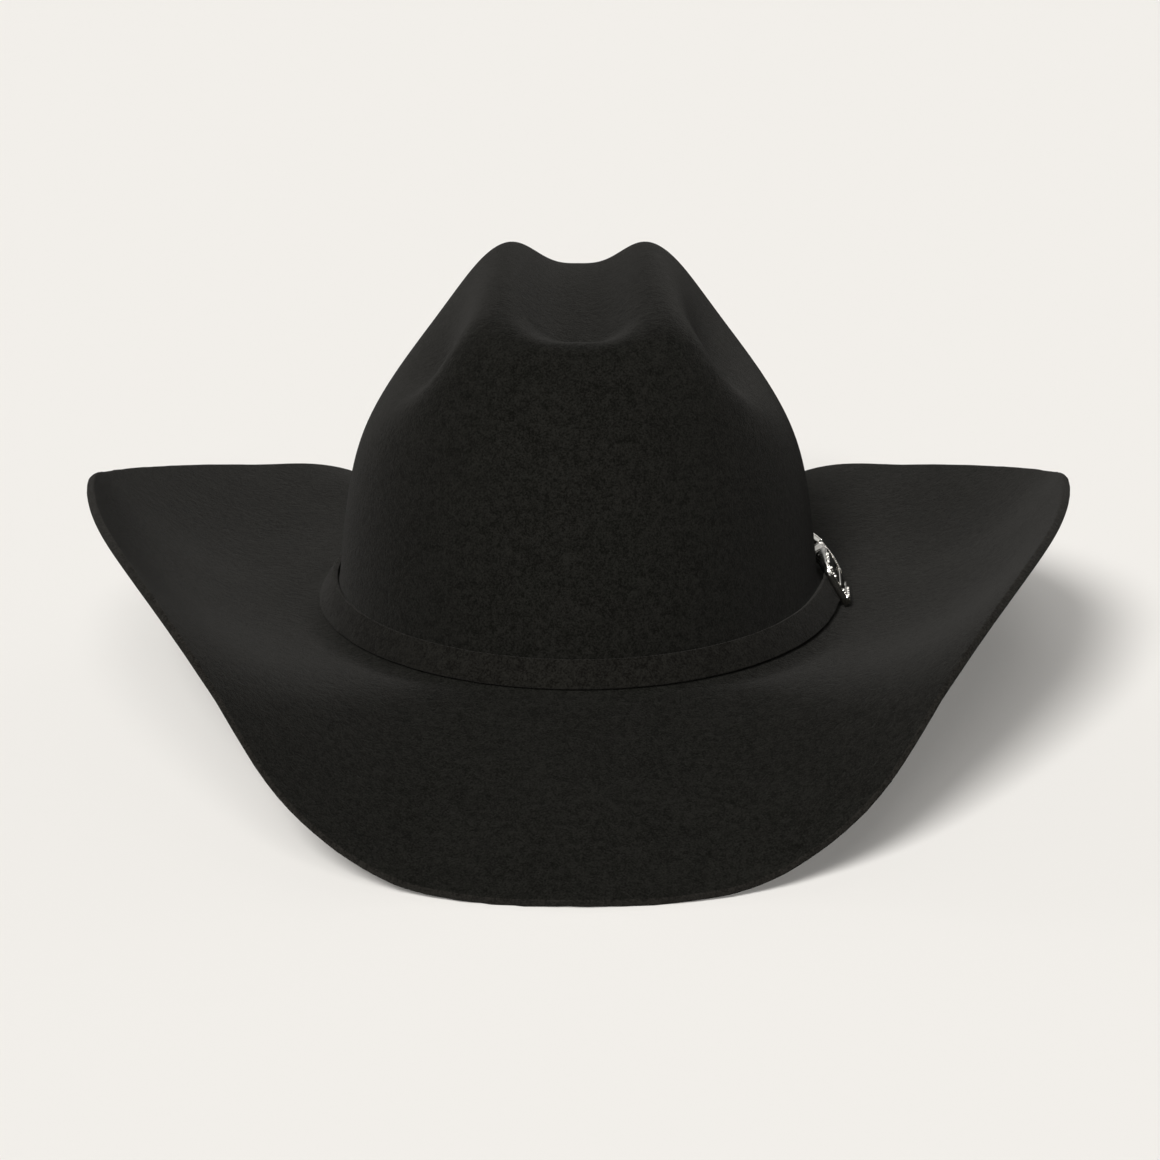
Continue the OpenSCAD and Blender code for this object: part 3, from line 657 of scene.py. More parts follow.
def bow():
    """Two flat ribbon loops, two tails and a knot, on the leather at the rear."""
    b = Builder()
    base = HALF_LENGTH - LEATHER_IN - 1.5
    middle = 17  # height
    for side in (-1, 1):
        q = np.linspace(0, 1, 33)
        x = side * (10.6 * np.sin(np.pi * np.clip(q, 0, 1)) ** 0.8 + 0.4)
        lift = 0.25 + 1.15 * np.sin(np.pi * q) * np.where(q > 0.5, 1.0, 0.05) + 0.5 * smooth(q, 0.35, 0.6)
        half = 1.5 + 2.6 * np.sin(np.pi * q) ** 0.7
        w = np.linspace(-1, 1, 11)
        droop = 0.10 * np.cos(w * 3)[None] * np.sin(np.pi * q)[:, None]
        z = middle + half[:, None] * w[None]
        y = base - (lift[:, None] + droop)
        face = np.stack([x[:, None] + 0 * w[None], y, z], -1)
        b.sheet(face, face + np.array([0, 0.22, 0]))
        q = np.linspace(0, 1, 14)
        x = side * (0.8 + 7.2 * q)
        z0 = middle - 1.0 - 5.6 * q - 0.8 * q * q
        w = np.linspace(-1, 1, 9)
        half = 1.1 + 1.3 * q
        y = base - 0.15 - 0.35 * np.sin(3 * q)[:, None] - 0.08 * np.cos(w * 4)[None]
        notch = (q[:, None] > 0.9) * (np.abs(w)[None] - 0.5) * 1.0
        face = np.stack([x[:, None] + side * (half[:, None] * w[None] * 0.55 + notch), y,
                         z0[:, None] + half[:, None] * w[None] * 0.8 - notch], -1)
        b.sheet(face, face + np.array([0, 0.2, 0]))
    rows = np.linspace(-1, 1, 15)
    q = circle(28)
    swell = 1.55 + 0.25 * np.cos(rows * 2.2)
    fold = 1 + 0.05 * np.cos(5 * q[None] + 1.4 * rows[:, None])
    knot = np.stack([1.7 * np.cos(q)[None] * fold * (swell / 1.8)[:, None],
                     -0.95 * np.sin(q)[None] * fold * (swell / 1.8)[:, None] - 0.9 + 0 * rows[:, None],
                     rows[:, None] * 2.2 + 0 * q[None]], -1) + [0, base, middle]
    b.rings(knot, ends=(knot[0].mean(0), knot[-1].mean(0)))
    o = b.make("ribbon_bow", "hat", [ribbon], sharp=60)
    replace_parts(o, "sweatband_bow")


bow()

# ---- Lining: gathered satin side, satin tip, piping, clear shield, blank label
SEAM = 0.55


def dome(b, s, near, far, deep=0.0, columns=540):
    """A thin cap under the crown's top, down to the last of the shares s."""
    t = turns(columns)
    b.rings(np.concatenate([crown(t, s, near + deep), crown(t, s, far + deep)[::-1]]),
            ends=(crown_tip(near), crown_tip(far)))


def ring_stitches(b, count, s, inset, length, radius, sink, paint=0):
    """Stitches round the lining, each length degrees long."""
    u = turns(count)
    start = crown(u, [s], LINING_IN + inset)[0]
    out = crown(u, [s], LINING_IN + (inset + 1))[0] - start
    capsules(b, start, crown(u + length, [s], LINING_IN + inset)[0], radius,
             unit(out), sink, paint)


def lining():
    t = turns(540)
    rows = 44
    s = SEAM - 0.01 - (SEAM - 0.06) * np.arange(rows) / (rows - 1)
    pleat = 0.5 + 0.5 * np.clip(noise_loop(t, 21, 40, 130), -1, 1)
    slow = 0.5 + 0.5 * np.clip(noise_loop(t, 22, 9, 30), -1, 1)
    sag = smooth(s, 0.27, 0.40) * (1 - 0.35 * smooth(s, 0.46, 0.54))
    deep = 0.06 + sag[:, None] * (0.55 * pleat[None] + 0.45 * slow[None]) * 0.95
    b = Builder()
    b.rings(np.concatenate([crown(t, s, LINING_OUT + deep)[::-1], crown(t, s, LINING_IN + deep)]),
            wrap_rows=True)
    o = b.make("liner_side_satin", "hat", [satin])
    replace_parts(o, "liner_side")

    rows = 40
    s = 1 - (1 - SEAM - 0.01) * np.arange(1, rows + 1) / rows
    near = 1 - smooth(s, 0.57, 0.70)
    deep = near[:, None] * (0.45 * (0.5 + 0.5 * noise_loop(t, 23, 50, 120)))[None] + 0.02
    b = Builder()
    dome(b, s, LINING_OUT, LINING_IN, deep)
    o = b.make("liner_tip_satin", "hat", [satin_top])
    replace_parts(o, "liner_tip")

    line = crown(turns(360), [SEAM], LINING_IN + 0.9)[0]
    b = Builder()
    tube(b, line, 0.6, 12, closed=True)
    ring_stitches(b, 300, SEAM - 0.013, 0.62, 0.55, 0.16, -0.3, paint=1)
    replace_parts(b.make("liner_piping_cord", "hat", [tape, thread]), "liner_piping")

    b = Builder()
    dome(b, 1 - 0.26 * np.arange(1, 25) / 24, LINING_IN + 0.3, LINING_IN + 0.55, columns=180)
    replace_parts(b.make("liner_clear_shield", "hat", [film.m]), "liner_shield")
    b = Builder()
    ring_stitches(b, 96, 0.75, 0.6, 1.7, 0.15, -0.2)
    b.make("shield_stitches", "hat", [thread])


lining()


def patch(name, node, t_range, s_range, material):
    """A thin piece on the inner face, between two turns and two shares of the way up."""
    t, s = np.linspace(*t_range, 25), np.linspace(*s_range, 33)
    inset, thick = LINING_IN + 0.2, 0.2
    b = Builder()
    b.sheet(crown(t, s, inset), crown(t, s, inset + thick))
    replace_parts(b.make(name, "hat", [material], sharp=50), node)


patch("blank_size_label", "size_label", (148, 160), (0.17, 0.31), label_cloth.m)
patch("sweatband_seam_strip", "sweatband_seam", (176, 184), (0.03, 0.19), tape)

# ---- Hat band: places on it are along the strap, up across its width, and out from the crown
LEAN = 30.0
STRAP_MIDDLE = (3.225, 9.05)  # outside the foot of the crown, and up
SIDE_RADIUS = HALF_LENGTH ** 2 / HALF_WIDTH + 5
FRAME_U, KEEPER_U, TIP_U, STITCH_U = 8.5, 31.0, 48.5, 21.5  # where things sit on the strap
STRAIGHTS = ((-3.5, 22, FRAME_U), (36, 61, TIP_U))  # it stays straight in these stretches
STRAP_WIDTH = 10.5
BAR = (18.5, 2.6)  # place along the strap, and out
BAR_X = BAR[0] - FRAME_U


def held(u):
    """The place whose direction u has: its own, or the middle of its straight stretch."""
    u = np.asarray(u, float)
    out = u.copy()
    for low, high, middle in STRAIGHTS:
        out = np.where((u >= low) & (u <= high), middle, out)
    return out


def band_axes(u):
    """Origin, along, up and out at places u on the strap."""
    u = np.asarray(u, float)
    k = held(u)
    t = 90 + (k - FRAME_U) / SIDE_RADIUS * 180 / np.pi
    f = foot(t)
    origin = (np.stack([f[..., 0], f[..., 1], 0 * t + STRAP_MIDDLE[1]], -1)
              + facing(t) * STRAP_MIDDLE[0] + along(t) * (u - k)[..., None])
    return (origin, along(t), cosd(LEAN) * UP - sind(LEAN) * facing(t),
            sind(LEAN) * UP + cosd(LEAN) * facing(t))


def on_band(points, u):
    """Local points about place u, drawn as (along, up, out), in the hat's millimetres."""
    o, a, up, out = band_axes(np.array(float(u)))
    p = np.asarray(points, float)
    return o + p[..., :1] * a + p[..., 1:2] * up + p[..., 2:3] * out


def direction(axis, u):
    return on_band([axis], u)[0] - on_band([[0, 0, 0]], u)[0]


def round_bar(rings, sides):
    """Circles about the buckle's bar, each with its radius and its place across the strap."""
    q = circle(sides)
    return on_band([np.stack([BAR_X + r * np.cos(q), y + 0 * q, BAR[1] + r * np.sin(q)], -1)
                    for r, y in rings], FRAME_U)


def catmull(points, steps):
    """A smooth curve through the points."""
    p = np.asarray(points, float)
    p = np.concatenate([[2 * p[0] - p[1]], p, [2 * p[-1] - p[-2]]])
    out = []
    for i in range(1, len(p) - 2):
        for k in range(steps):
            u = k / steps
            out.append(0.5 * (2 * p[i] + (p[i + 1] - p[i - 1]) * u
                              + (2 * p[i - 1] - 5 * p[i] + 4 * p[i + 1] - p[i + 2]) * u * u
                              + (3 * p[i] - p[i - 1] - 3 * p[i + 1] + p[i + 2]) * u ** 3))
    out.append(p[-2])
    return np.array(out)


def strap():
    loop = 2 * math.pi * SIDE_RADIUS
    # Points of the strap's middle, each with its place along, its place out and its thickness
    fold_r = 0.65 + 0.5
    start = [[u, 1.45, 0.8] for u in (24, 22.5, 21, 19.5)]
    start += [[BAR[0] - fold_r * math.sin(q), BAR[1] - fold_r * math.cos(q), 0.8]
              for q in map(math.radians, range(0, 181, 15))]
    start.append([19.6, 3.68, 0.8])
    wrap = catmull([[21, 3.25, 0.8], [24, 2.7, 0.9], [28, 2.3, 1.4], [35.5, 2.3, 1.4], [40, 2.3, 1.4],
                    [48, 2.3, 1.4], [56, 2.3, 1.4], [60.5, 2.2, 1.5], [66, 1.7, 1.8], [72, 1.2, 2.0]], 4)
    far = np.linspace(72, loop - 24, 230)[1:]
    rest = np.stack([far, 1 + 0.2 * (1 - smooth(far, 72, 90)), 2 + 0 * far], -1)
    end = [[-16, 1.2, 2.0], [-9, 1.7, 1.6], [-3.5, 2, 1.4], [1, 2.1, 1.4], [6, 2.8, 1.4], [11, 3.9, 1.4],
           [15, 4.75, 1.4], [18.5, 5.1, 1.4], [21.5, 4.6, 1.4], [24, 4.1, 1.4], [28, 4, 1.4],
           [35.5, 4, 1.4], [40, 4, 1.4], [48, 4, 1.4], [57, 4, 1.4]]
    end = catmull([[p[0] + loop, p[1], p[2]] for p in end], 4)
    line = np.concatenate([start, wrap, rest, end])
    run = unit(np.gradient(line[:, :2], axis=0))
    nrm = np.stack([-run[:, 1], run[:, 0]], -1)
    corner_r = 0.42
    corner = [(1 - math.cos(q), 1 - math.sin(q)) for q in np.radians([0, 30, 60, 90])]
    rows = []
    wob = noise_loop(line[:, 0] / loop * 360, 31, 12, 60)
    for i, (u, w, thick) in enumerate(line):
        half, wide = thick / 2, STRAP_WIDTH / 2 + 0.05 * wob[i]
        rr = min(corner_r, half * 0.8)
        sec = []
        for sv, sh in ((1, 1), (-1, 1), (-1, -1), (1, -1)):
            pts = [(sv * (wide - rr * c[0]), sh * (half - rr * c[1])) for c in corner]
            if sv * sh < 0:
                pts = pts[::-1]
            sec += pts
        up = np.array([p[0] for p in sec])
        off = np.array([p[1] for p in sec])
        uu = u + nrm[i, 0] * off
        ww = w + nrm[i, 1] * off
        uu = np.where(uu > loop - 40, uu - loop, uu)
        o, a, v, out = band_axes(uu)
        rows.append(o + up[:, None] * v + ww[:, None] * out)
    b = Builder()
    b.rings(rows, ends=FLAT)
    cut_edges = (0, 1, 5, 6, 7, 8, 9, 14, 15)  # columns of the section
    b.repaint(len(rows) - 1, len(rows[0]), lambda row, column: column in cut_edges)
    o = b.make("felt_strap", "band", [strap_felt, strap_cut], sharp=70)

    # The slot that the tongue swings in
    c = Builder()
    q = np.linspace(0, 2 * np.pi, 33)[:-1]
    long, wide = 4.2, 1.5  # half sizes
    outline = np.stack([np.clip(long * np.cos(q) * 1.6, -long, long),
                        wide * np.sign(np.sin(q)) * np.abs(np.sin(q)) ** 0.5], -1) + [-0.5, 0]
    c.rings([on_band(np.insert(outline, 2, z, 1), BAR[0]) for z in (-1.0, 9.0)], ends=FLAT)
    cutter = c.make("slot_cutter", "band", [strap_cut])
    m = o.modifiers.new("slot", "BOOLEAN")
    m.operation, m.solver, m.object = "DIFFERENCE", "EXACT", cutter
    dg = bpy.context.evaluated_depsgraph_get()
    cut_mesh = bpy.data.meshes.new_from_object(o.evaluated_get(dg))
    o.modifiers.clear()
    o.data = cut_mesh
    bpy.data.objects.remove(cutter, do_unlink=True)
    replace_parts(o, "hat_band")


strap()


def fold_stitches():
    b = Builder()
    q = np.linspace(0, math.pi, 9)
    up = direction([0, 1, 0], STITCH_U)
    for y in (-4.2, -3.2, -2.2, 2.2, 3.2, 4.2):
        for z, bulge in ((3.42, 0.28), (1.02, -0.2)):
            arc = np.stack([0.55 * np.cos(q), 0 * q + y, z + bulge * np.sin(q)], -1)
            tube(b, on_band(arc, STITCH_U), 0.24, 8, up=up)
        post = np.stack([np.zeros(4), np.full(4, y), np.linspace(1.0, 3.45, 4)], -1)
        tube(b, on_band(post, STITCH_U), 0.2, 8, up=up)
    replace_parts(b.make("strap_fold_stitches", "band", [strap_thread]), "fold_stitches")


fold_stitches()

# ---- Silver: a U-shaped buckle with scrolls and beads, its tongue, a keeper and a tip
def scroll(b, u, centre, size, winds, start, hand, thick):
    """A raised scroll that winds in to its eye and tapers to both ends."""
    q = np.linspace(0, 1, 26)
    a = start + hand * 2 * math.pi * winds * q
    r = size * (1 - 0.86 * q)
    points = np.stack([centre[0] + r * np.cos(a), centre[1] + r * np.sin(a), centre[2] + 0 * q], -1)
    width = thick * (0.45 + 0.55 * np.sin(np.pi * np.linspace(0.12, 0.95, len(q))) ** 0.6)
    tube(b, on_band(points, u), width, 8, up=direction([0, 0, 1.0], u), flat=0.9)


def bead(b, u, x, y, z, r):
    """A slightly flattened ball."""
    flat = 0.85
    q = circle(14)
    e = np.radians(np.linspace(-75, 75, 8))
    ball = np.stack([np.cos(e)[:, None] * np.cos(q), np.cos(e)[:, None] * np.sin(q),
                     np.sin(e)[:, None] * flat + 0 * q], -1) * r
    axes = np.array(band_axes(np.array(float(u)))[1:])
    centre = on_band([[x, y, z]], u)[0]
    b.rings(ball @ axes + centre,
            ends=[np.array([0, 0, end * r]) @ axes + centre for end in (-flat, flat)])


def buckle():
    # Path of the middle of the U, from the upper rail's rear end round the front to the lower one
    up_y, low_y, front_x, rear_x, corner = 8.0, -7.0, -10.25, 12.0, 3.0
    q = np.radians(np.linspace(90, 180, 9))
    path = [[x, up_y] for x in np.linspace(rear_x, front_x + corner, 22)[:-1]]
    path += [[front_x + corner + corner * math.cos(a), up_y - corner + corner * math.sin(a)] for a in q]
    path += [[front_x, y] for y in np.linspace(up_y - corner, low_y + corner, 12)[1:-1]]
    q = np.radians(np.linspace(180, 270, 9))
    path += [[front_x + corner + corner * math.cos(a), low_y + corner + corner * math.sin(a)] for a in q]
    path += [[x, low_y] for x in np.linspace(front_x + corner, rear_x, 22)[1:]]
    path = np.array(path)
    run = unit(np.gradient(path, axis=0))
    nrm = np.stack([run[:, 1], -run[:, 0]], -1)
    front = smooth(-path[:, 0], 6.5, 9.5)
    half = 1.3 + 0.45 * front
    # Section across the rail: underside, side, raised border, recess, raised border, side
    sec = [(-0.86, 3.0), (-1.0, 3.25), (-1.0, 4.75), (-0.93, 5.15), (-0.8, 5.4), (-0.66, 5.42),
           (-0.56, 5.25), (-0.5, 5.0), (-0.25, 5.05), (0.0, 5.08), (0.25, 5.05), (0.5, 5.0),
           (0.56, 5.25), (0.66, 5.42), (0.8, 5.4), (0.93, 5.15), (1.0, 4.75), (1.0, 3.25), (0.86, 3.0)]
    plain = smooth(path[:, 0], 4.5, 6.5)  # the rails are smooth and domed at the rear
    rings = []
    for i in range(len(path)):
        ring = []
        for a, z in sec:
            dome = 3.9 + 1.75 * math.sqrt(max(0.0, 1 - (0.9 * a) ** 2)) if z > 4.7 else z
            zz = z + (dome - z) * plain[i]
            p = path[i] + nrm[i] * half[i] * a
            ring.append([p[0], p[1], zz])
        rings.append(ring)
    rings = np.array(rings)
    tail = [rings[0].copy(), rings[-1].copy()]
    for e in tail:
        mid = e.mean(0)
        e[:] = mid + (e - mid) * 0.82
        e[:, 0] += 0.28
    rings = np.concatenate([[tail[0]], rings, [tail[1]]])
    b = Builder()
    b.rings(on_band(rings, FRAME_U), ends=FLAT)
    full = [0.0] + list(plain) + [1.0]
    b.repaint(len(rings) - 1, len(sec), lambda row, column: 6 <= column <= 11 and full[row] < 0.5)
    for y in (-7.0, 6.7):  # the lugs that hold the bar
        b.rings(round_bar(((1.0, y), (1.2, y + 0.15), (1.2, y + 1.15), (1.0, y + 1.3)), 24), ends=FLAT)
    o = b.make("buckle_u_frame", "band", [silver, silver_dark], sharp=50)
    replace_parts(o, "buckle_frame")

    # Ornament: S scrolls and beads along the front half, larger scrolls at the corners
    b = Builder()
    z = 5.25
    for rail, sgn in ((up_y, 1), (low_y, -1)):
        for k, x in enumerate(np.arange(-5.6, 4.2, 2.3)):
            hand = 1 if k % 2 == 0 else -1
            scroll(b, FRAME_U, (x, rail + 0.12 * hand, z + 0.2), 1.15, 1.1,
                   math.pi * (0.5 - 0.5 * hand) + 0.5, hand * sgn, 0.40)
            bead(b, FRAME_U, x, rail, z + 0.42, 0.50)
            bead(b, FRAME_U, x + 1.15, rail + 0.75 * sgn, z + 0.2, 0.42)
        bead(b, FRAME_U, 4.7, rail, z + 0.4, 0.68)
        cx, cy = front_x + 1.0, rail - sgn * 1.3
        scroll(b, FRAME_U, (cx, cy, z + 0.2), 1.75, 1.35, math.pi * 0.5 * sgn, sgn, 0.46)
        bead(b, FRAME_U, cx, cy, z + 0.5, 0.72)
        for a in np.linspace(0.62, 1.38, 4):
            q = math.pi * a if sgn > 0 else math.pi * (2 - a)
            bead(b, FRAME_U, front_x + corner + 4.05 * math.cos(q),
                 (rail - sgn * corner) + sgn * 4.0 * abs(math.sin(q)), z - 0.05, 0.5)
    for y, r in ((-3.7, 0.62), (4.7, 0.62), (-2.5, 0.78), (3.5, 0.78)):
        bead(b, FRAME_U, front_x, y, z + 0.25, r)
    o = b.make("buckle_scrolls", "band", [silver])
    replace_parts(o, "buckle_overlay")

    b = Builder()
    b.rings(round_bar(((0.5, -6.85), (0.63, -6.75), (0.63, 7.75), (0.5, 7.85)), 24), ends=FLAT)
    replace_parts(b.make("buckle_pin_bar", "band", [steel], sharp=50), "buckle_bar")


def tongue():
    b = Builder()
    # A ring round the bar, and a prong that rises through the slot and lies on the front of the U
    b.rings(round_bar(((0.71, -1.0), (1.35, -1.1), (1.5, -0.95), (1.5, 0.95), (1.35, 1.1), (0.71, 1.0)),
                      28), wrap_rows=True)
    line = catmull([[10.6, 3.75, 0.62], [9.3, 4.75, 0.62], [7.6, 5.7, 0.6], [5.6, 5.98, 0.55],
                    [2.0, 6.0, 0.5], [-3.0, 5.92, 0.46], [-8.0, 5.8, 0.42], [-10.6, 5.7, 0.38],
                    [-11.6, 5.5, 0.26]], 5)
    wide = np.interp(line[:, 0], [-11.7, -11.0, -8.0, 6.0, 9.0, 10.6], [0.3, 0.62, 0.72, 0.8, 0.8, 0.8])
    q = circle(16)
    cx, cz = [np.sign(k) * np.abs(k) ** 0.7 for k in (np.cos(q), np.sin(q))]
    run = unit(np.gradient(line[:, :2], axis=0))
    rings = [np.stack([x - run[i, 1] * h * cz, wide[i] * cx, z + run[i, 0] * h * cz], -1)
             for i, (x, z, h) in enumerate(line)]
    b.rings(on_band(rings, FRAME_U),
            ends=[on_band([rings[end].mean(0)], FRAME_U)[0] for end in (0, -1)])
    # A small collar of two rings where the prong leaves the strap
    q = circle(12)
    for x in (6.4, 5.2):
        loop = np.stack([x + 0 * q, 0.98 * np.cos(q), 6.0 + 0.72 * np.sin(q)], -1)
        tube(b, on_band(loop, FRAME_U), 0.2, 6, closed=True, up=direction([1.0, 0, 0], FRAME_U))
    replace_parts(b.make("tongue_prong", "tongue", [silver], sharp=60), "buckle_tongue")


def rounded_outline(half_x, half_y, r):
    pts = []
    for k, (sx, sy) in enumerate(((1, 1), (-1, 1), (-1, -1), (1, -1))):
        for a in np.radians(np.linspace(90 * k, 90 * k + 90, 9)):
            pts.append([sx * (half_x - r) + r * math.cos(a), sy * (half_y - r) + r * math.sin(a)])
    return np.array(pts)


def keeper():
    b = Builder()
    # Sections of the loop in (up, out), at places along the strap: raised rims at both ends
    rim = [(3.5, 0.0), (3.38, 0.22), (3.1, 0.34), (2.8, 0.30), (2.6, 0.10), (2.45, 0.0), (2.2, 0.0)]
    spans = ([(-x, grow) for x, grow in rim] + [(-1.0, 0.03), (0.0, 0.04), (1.0, 0.03)] + rim[::-1])
    half_up, half_out, wall_up, wall_out = 5.55, 1.85, 0.9, 0.55
    mid = 1.3 + 3.7 / 2
    rings = []
    for x, grow in spans:
        o = rounded_outline(half_up + wall_up + grow * 0.6, half_out + wall_out + grow * 0.5, 1.1)
        dome = (0.75 * np.clip(1 - (o[:, 0] / 6.6) ** 2, 0, 1) * (o[:, 1] > 0)
                + np.where(o[:, 1] > 0, grow, 0))
        rings.append(np.stack([np.full(len(o), x), o[:, 0], mid + o[:, 1] + dome], -1))
    inner = rounded_outline(half_up, half_out, 0.45)
    for x in (3.4, 1.2, -1.2, -3.4):
        rings.append(np.stack([np.full(len(inner), x), inner[:, 0], mid + inner[:, 1]], -1))
    b.rings(on_band(rings, KEEPER_U), wrap_rows=True)
    b.repaint(len(spans), len(inner), lambda row, column: 5 <= row <= 10 and 6 <= column <= 11)
    o = b.make("keeper_band", "keeper", [silver, silver_dark], sharp=60)
    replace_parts(o, "keeper_loop")

    b = Builder()
    z = mid + half_out + wall_out + 0.72
    for sgn in (-1, 1):
        scroll(b, KEEPER_U, (0.0, sgn * 2.6, z - 0.08), 1.65, 1.4, 0.4 * sgn, sgn, 0.36)
        scroll(b, KEEPER_U, (0.9, sgn * 4.9, z - 0.42), 0.9, 1.1, 2.2 * sgn, -sgn, 0.26)
        scroll(b, KEEPER_U, (-0.9, sgn * 4.9, z - 0.42), 0.9, 1.1, 1.0 * sgn, sgn, 0.26)
        bead(b, KEEPER_U, 0, sgn * 2.6, z + 0.1, 0.5)
        bead(b, KEEPER_U, 0, sgn * 4.3, z - 0.28, 0.36)
    bead(b, KEEPER_U, 0, 0, z + 0.12, 0.75)
    for a in np.radians(np.arange(0, 360, 60)):
        bead(b, KEEPER_U, 1.15 * math.cos(a), 1.15 * math.sin(a), z, 0.36)
    for x in (-3.07, 3.07):
        for y in np.arange(-5.6, 5.7, 0.8):
            top = mid + half_out + wall_out + 0.75 * (1 - (y / 6.6) ** 2) + 0.22
            bead(b, KEEPER_U, x, y, top + 0.05, 0.3)
    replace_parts(b.make("keeper_scrolls", "keeper", [silver]), "keeper_overlay")


def tip():
    front, back, half = -11.5, 6.4, 6.6

    def level(inset, z):
        pts = [[front + inset, half - inset], [front + inset, 0], [front + inset, inset - half]]
        pts += [[x, inset - half] for x in np.linspace(front + inset, back, 12)[1:-1]]
        pts += [[back + (half - inset) * math.cos(a), (half - inset) * math.sin(a)]
                for a in np.linspace(-math.pi / 2, math.pi / 2, 22)]
        pts += [[x, half - inset] for x in np.linspace(back, front + inset, 12)[1:-1]]
        return [[*p, z] for p in pts]

    b = Builder()
    shell = [level(inset, z) for inset, z in (
        (0.25, 3.2), (0.0, 3.4), (0.0, 5.2), (0.12, 5.6), (0.4, 5.92), (0.8, 6.05), (1.15, 5.98),
        (1.35, 5.75), (1.6, 5.7), (3.4, 5.85), (5.0, 5.95))]
    b.rings(on_band(shell, TIP_U), ends=FLAT)
    b.repaint(len(shell) - 1, len(shell[0]), lambda row, column: row >= 7)
    b.paint[-1] = 1
    o = b.make("tip_cap", "band", [silver, silver_dark], sharp=55)
    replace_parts(o, "band_tip")

    b = Builder()
    z = 6.0
    for k, x in enumerate((-7.6, -3.2, 1.2)):
        for sgn in (-1, 1):
            hand = sgn * (1 if k % 2 else -1)
            scroll(b, TIP_U, (x, sgn * 2.4, z), 1.9, 1.45, sgn * (0.3 + k), hand, 0.4)
            bead(b, TIP_U, x, sgn * 2.4, z + 0.2, 0.5)
        bead(b, TIP_U, x + 2.2, 0, z + 0.05, 0.5)
    scroll(b, TIP_U, (6.6, 0.0, z), 2.6, 1.6, 2.6, 1, 0.48)
    bead(b, TIP_U, 6.6, 0, z + 0.25, 0.8)
    bead(b, TIP_U, -9.7, 0, z, 0.5)
    for x in np.arange(-10.6, 6.4, 1.15):
        for sgn in (-1, 1):
            bead(b, TIP_U, x, sgn * 5.8, 6.02, 0.36)
    for a in np.radians(np.arange(-84, 85, 11.2)):
        bead(b, TIP_U, back + 5.8 * math.cos(a), 5.8 * math.sin(a), 6.02, 0.36)
    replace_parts(b.make("tip_scrolls", "band", [silver]), "tip_overlay")


buckle()
tongue()
keeper()
tip()

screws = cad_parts["tip_screws"]
for slot in screws.material_slots:
    slot.material = steel
if not screws.material_slots:
    screws.data.materials.append(steel)

# ---- Floor, light, camera
scene = bpy.context.scene
scene.view_settings.view_transform = "Standard"

floor_mesh = bpy.data.meshes.new("floor")
R = 12  # metres from the middle of the floor to its sides
floor_mesh.from_pydata([(-R, -R, 0), (R, -R, 0), (R, R, 0), (-R, R, 0)], [], [(0, 1, 2, 3)])
floor = bpy.data.objects.new("floor", floor_mesh)
scene.collection.objects.link(floor)
floor_paint = Paint("floor_paper", rough=0.9, specular=0.0)
floor_paint.colour((0.840, 0.816, 0.778))
floor_mesh.materials.append(floor_paint.m)
# Seen from below the floor is clear, so that the inside of the hat shows
tree = floor_paint.tree
pick = node(tree, "MixShader", Fac=floor_paint.node("NewGeometry", "Backfacing"))
tree.links.new(floor_paint.shader.outputs[0], pick.inputs[1])
tree.links.new(floor_paint.node("BsdfTransparent", 0), pick.inputs[2])
fill(tree.nodes["Material Output"], Surface=pick.outputs[0])

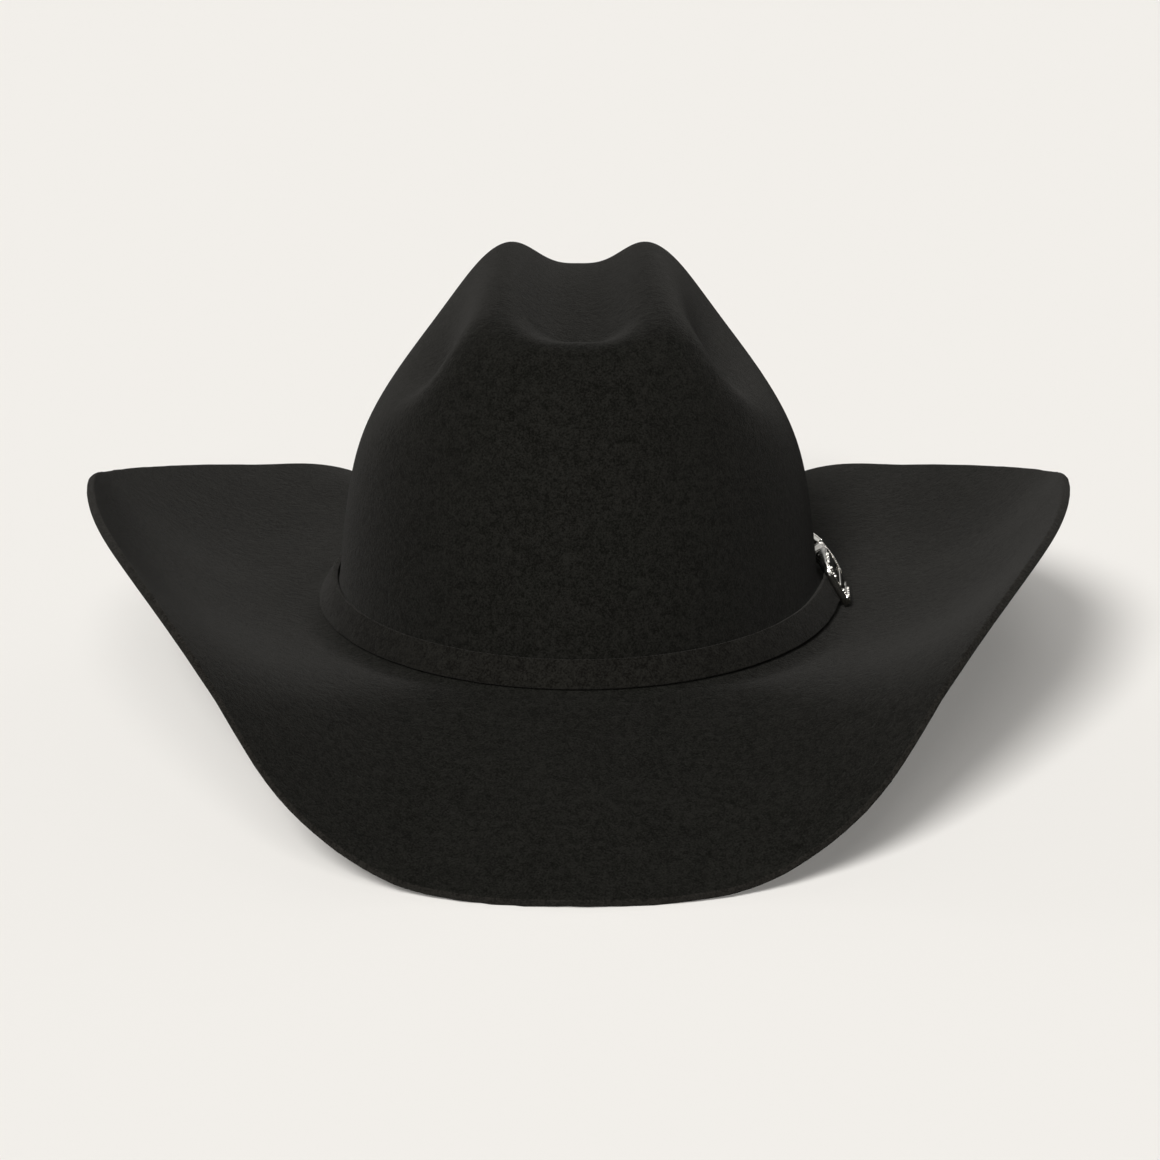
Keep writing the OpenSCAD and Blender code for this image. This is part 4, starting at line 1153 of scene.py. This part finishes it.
# The world: even paper to the camera, a bright ceiling to the silver, and a faint fill to the rest
world = bpy.data.worlds.new("studio")
scene.world = world
world.use_nodes = True
tree = world.node_tree
tree.nodes.clear()
height = node(tree, "SeparateXYZ", Vector=node(tree, "TexCoord").outputs["Generated"]).outputs["Z"]
seen = node(tree, "Background", Color=(0.888, 0.863, 0.823))
faint = node(tree, "Background", Color=(1.0, 0.995, 0.985), Strength=0.04)
ceiling = node(tree, "Background",
               Color=ramp(tree, height, [(0.12, (0.10, 0.10, 0.10)), (0.60, (0.90, 0.89, 0.87))]))
ray = node(tree, "LightPath").outputs
choice = faint
for kind, lit in (("Is Glossy Ray", ceiling), ("Is Camera Ray", seen)):
    pick = node(tree, "MixShader", Fac=ray[kind])
    tree.links.new(choice.outputs[0], pick.inputs[1])
    tree.links.new(lit.outputs[0], pick.inputs[2])
    choice = pick
node(tree, "OutputWorld", Surface=choice.outputs[0])

# The light from behind falls on the felt alone. It leaves the floor's shadows and the silver's
# highlights as they are
felt_only = bpy.data.collections.new("felt_only")
for name in ("felt_hat_body", "felt_strap"):
    felt_only.objects.link(scene.objects[name])

# Suns: degrees round from the front (left is minus), degrees up, strength, width in degrees,
# and whether they cast shadows
for name, round_, up, energy, width, shadow in (
        ("key", -14, 33.5, 3.49, 13, True), ("second", 0, 38, 0.75, 14, True),
        ("top", 15, 80, 0.66, 20, False), ("rear_right", 140, 32, 0.08, 26, False),
        ("rear_left", -140, 40, 0.18, 26, False), ("back", 180, 22, 1.6, 40, True)):
    sun = bpy.data.lights.new(name, "SUN")
    sun.energy, sun.angle, sun.use_shadow = energy, math.radians(width), shadow
    lamp = bpy.data.objects.new(name, sun)
    scene.collection.objects.link(lamp)
    a, e = math.radians(round_), math.radians(up)
    lamp.rotation_euler = Vector((math.sin(a) * math.cos(e), -math.cos(a) * math.cos(e),
                                  math.sin(e))).to_track_quat("Z", "Y").to_euler()
    if name == "back":
        lamp.light_linking.receiver_collection = felt_only

camera_data = bpy.data.cameras.new("camera")
camera = bpy.data.objects.new("camera", camera_data)
scene.collection.objects.link(camera)
ELEVATION, FAR, PER_PIXEL = math.radians(17.0), 2.0, 2.75
SENSOR, IMAGE = 36, 1160  # millimetres, and pixels across
camera_data.sensor_width = SENSOR
camera_data.lens = SENSOR * PER_PIXEL * FAR * 1000 / IMAGE
camera_data.clip_start, camera_data.clip_end = 0.05, 60
right = Vector((1, 0, 0))
ahead = Vector((0, math.cos(ELEVATION), -math.sin(ELEVATION)))
above = right.cross(ahead)
AIM_UP, AIM_RIGHT = 0.0100, 0.00055
aim = Vector((0, -MIDDLE / 1000, LIFT / 1000)) + above * AIM_UP + right * AIM_RIGHT
camera.location = aim - ahead * FAR
camera.rotation_euler = (math.pi / 2 - ELEVATION, 0, 0)
scene.camera = camera
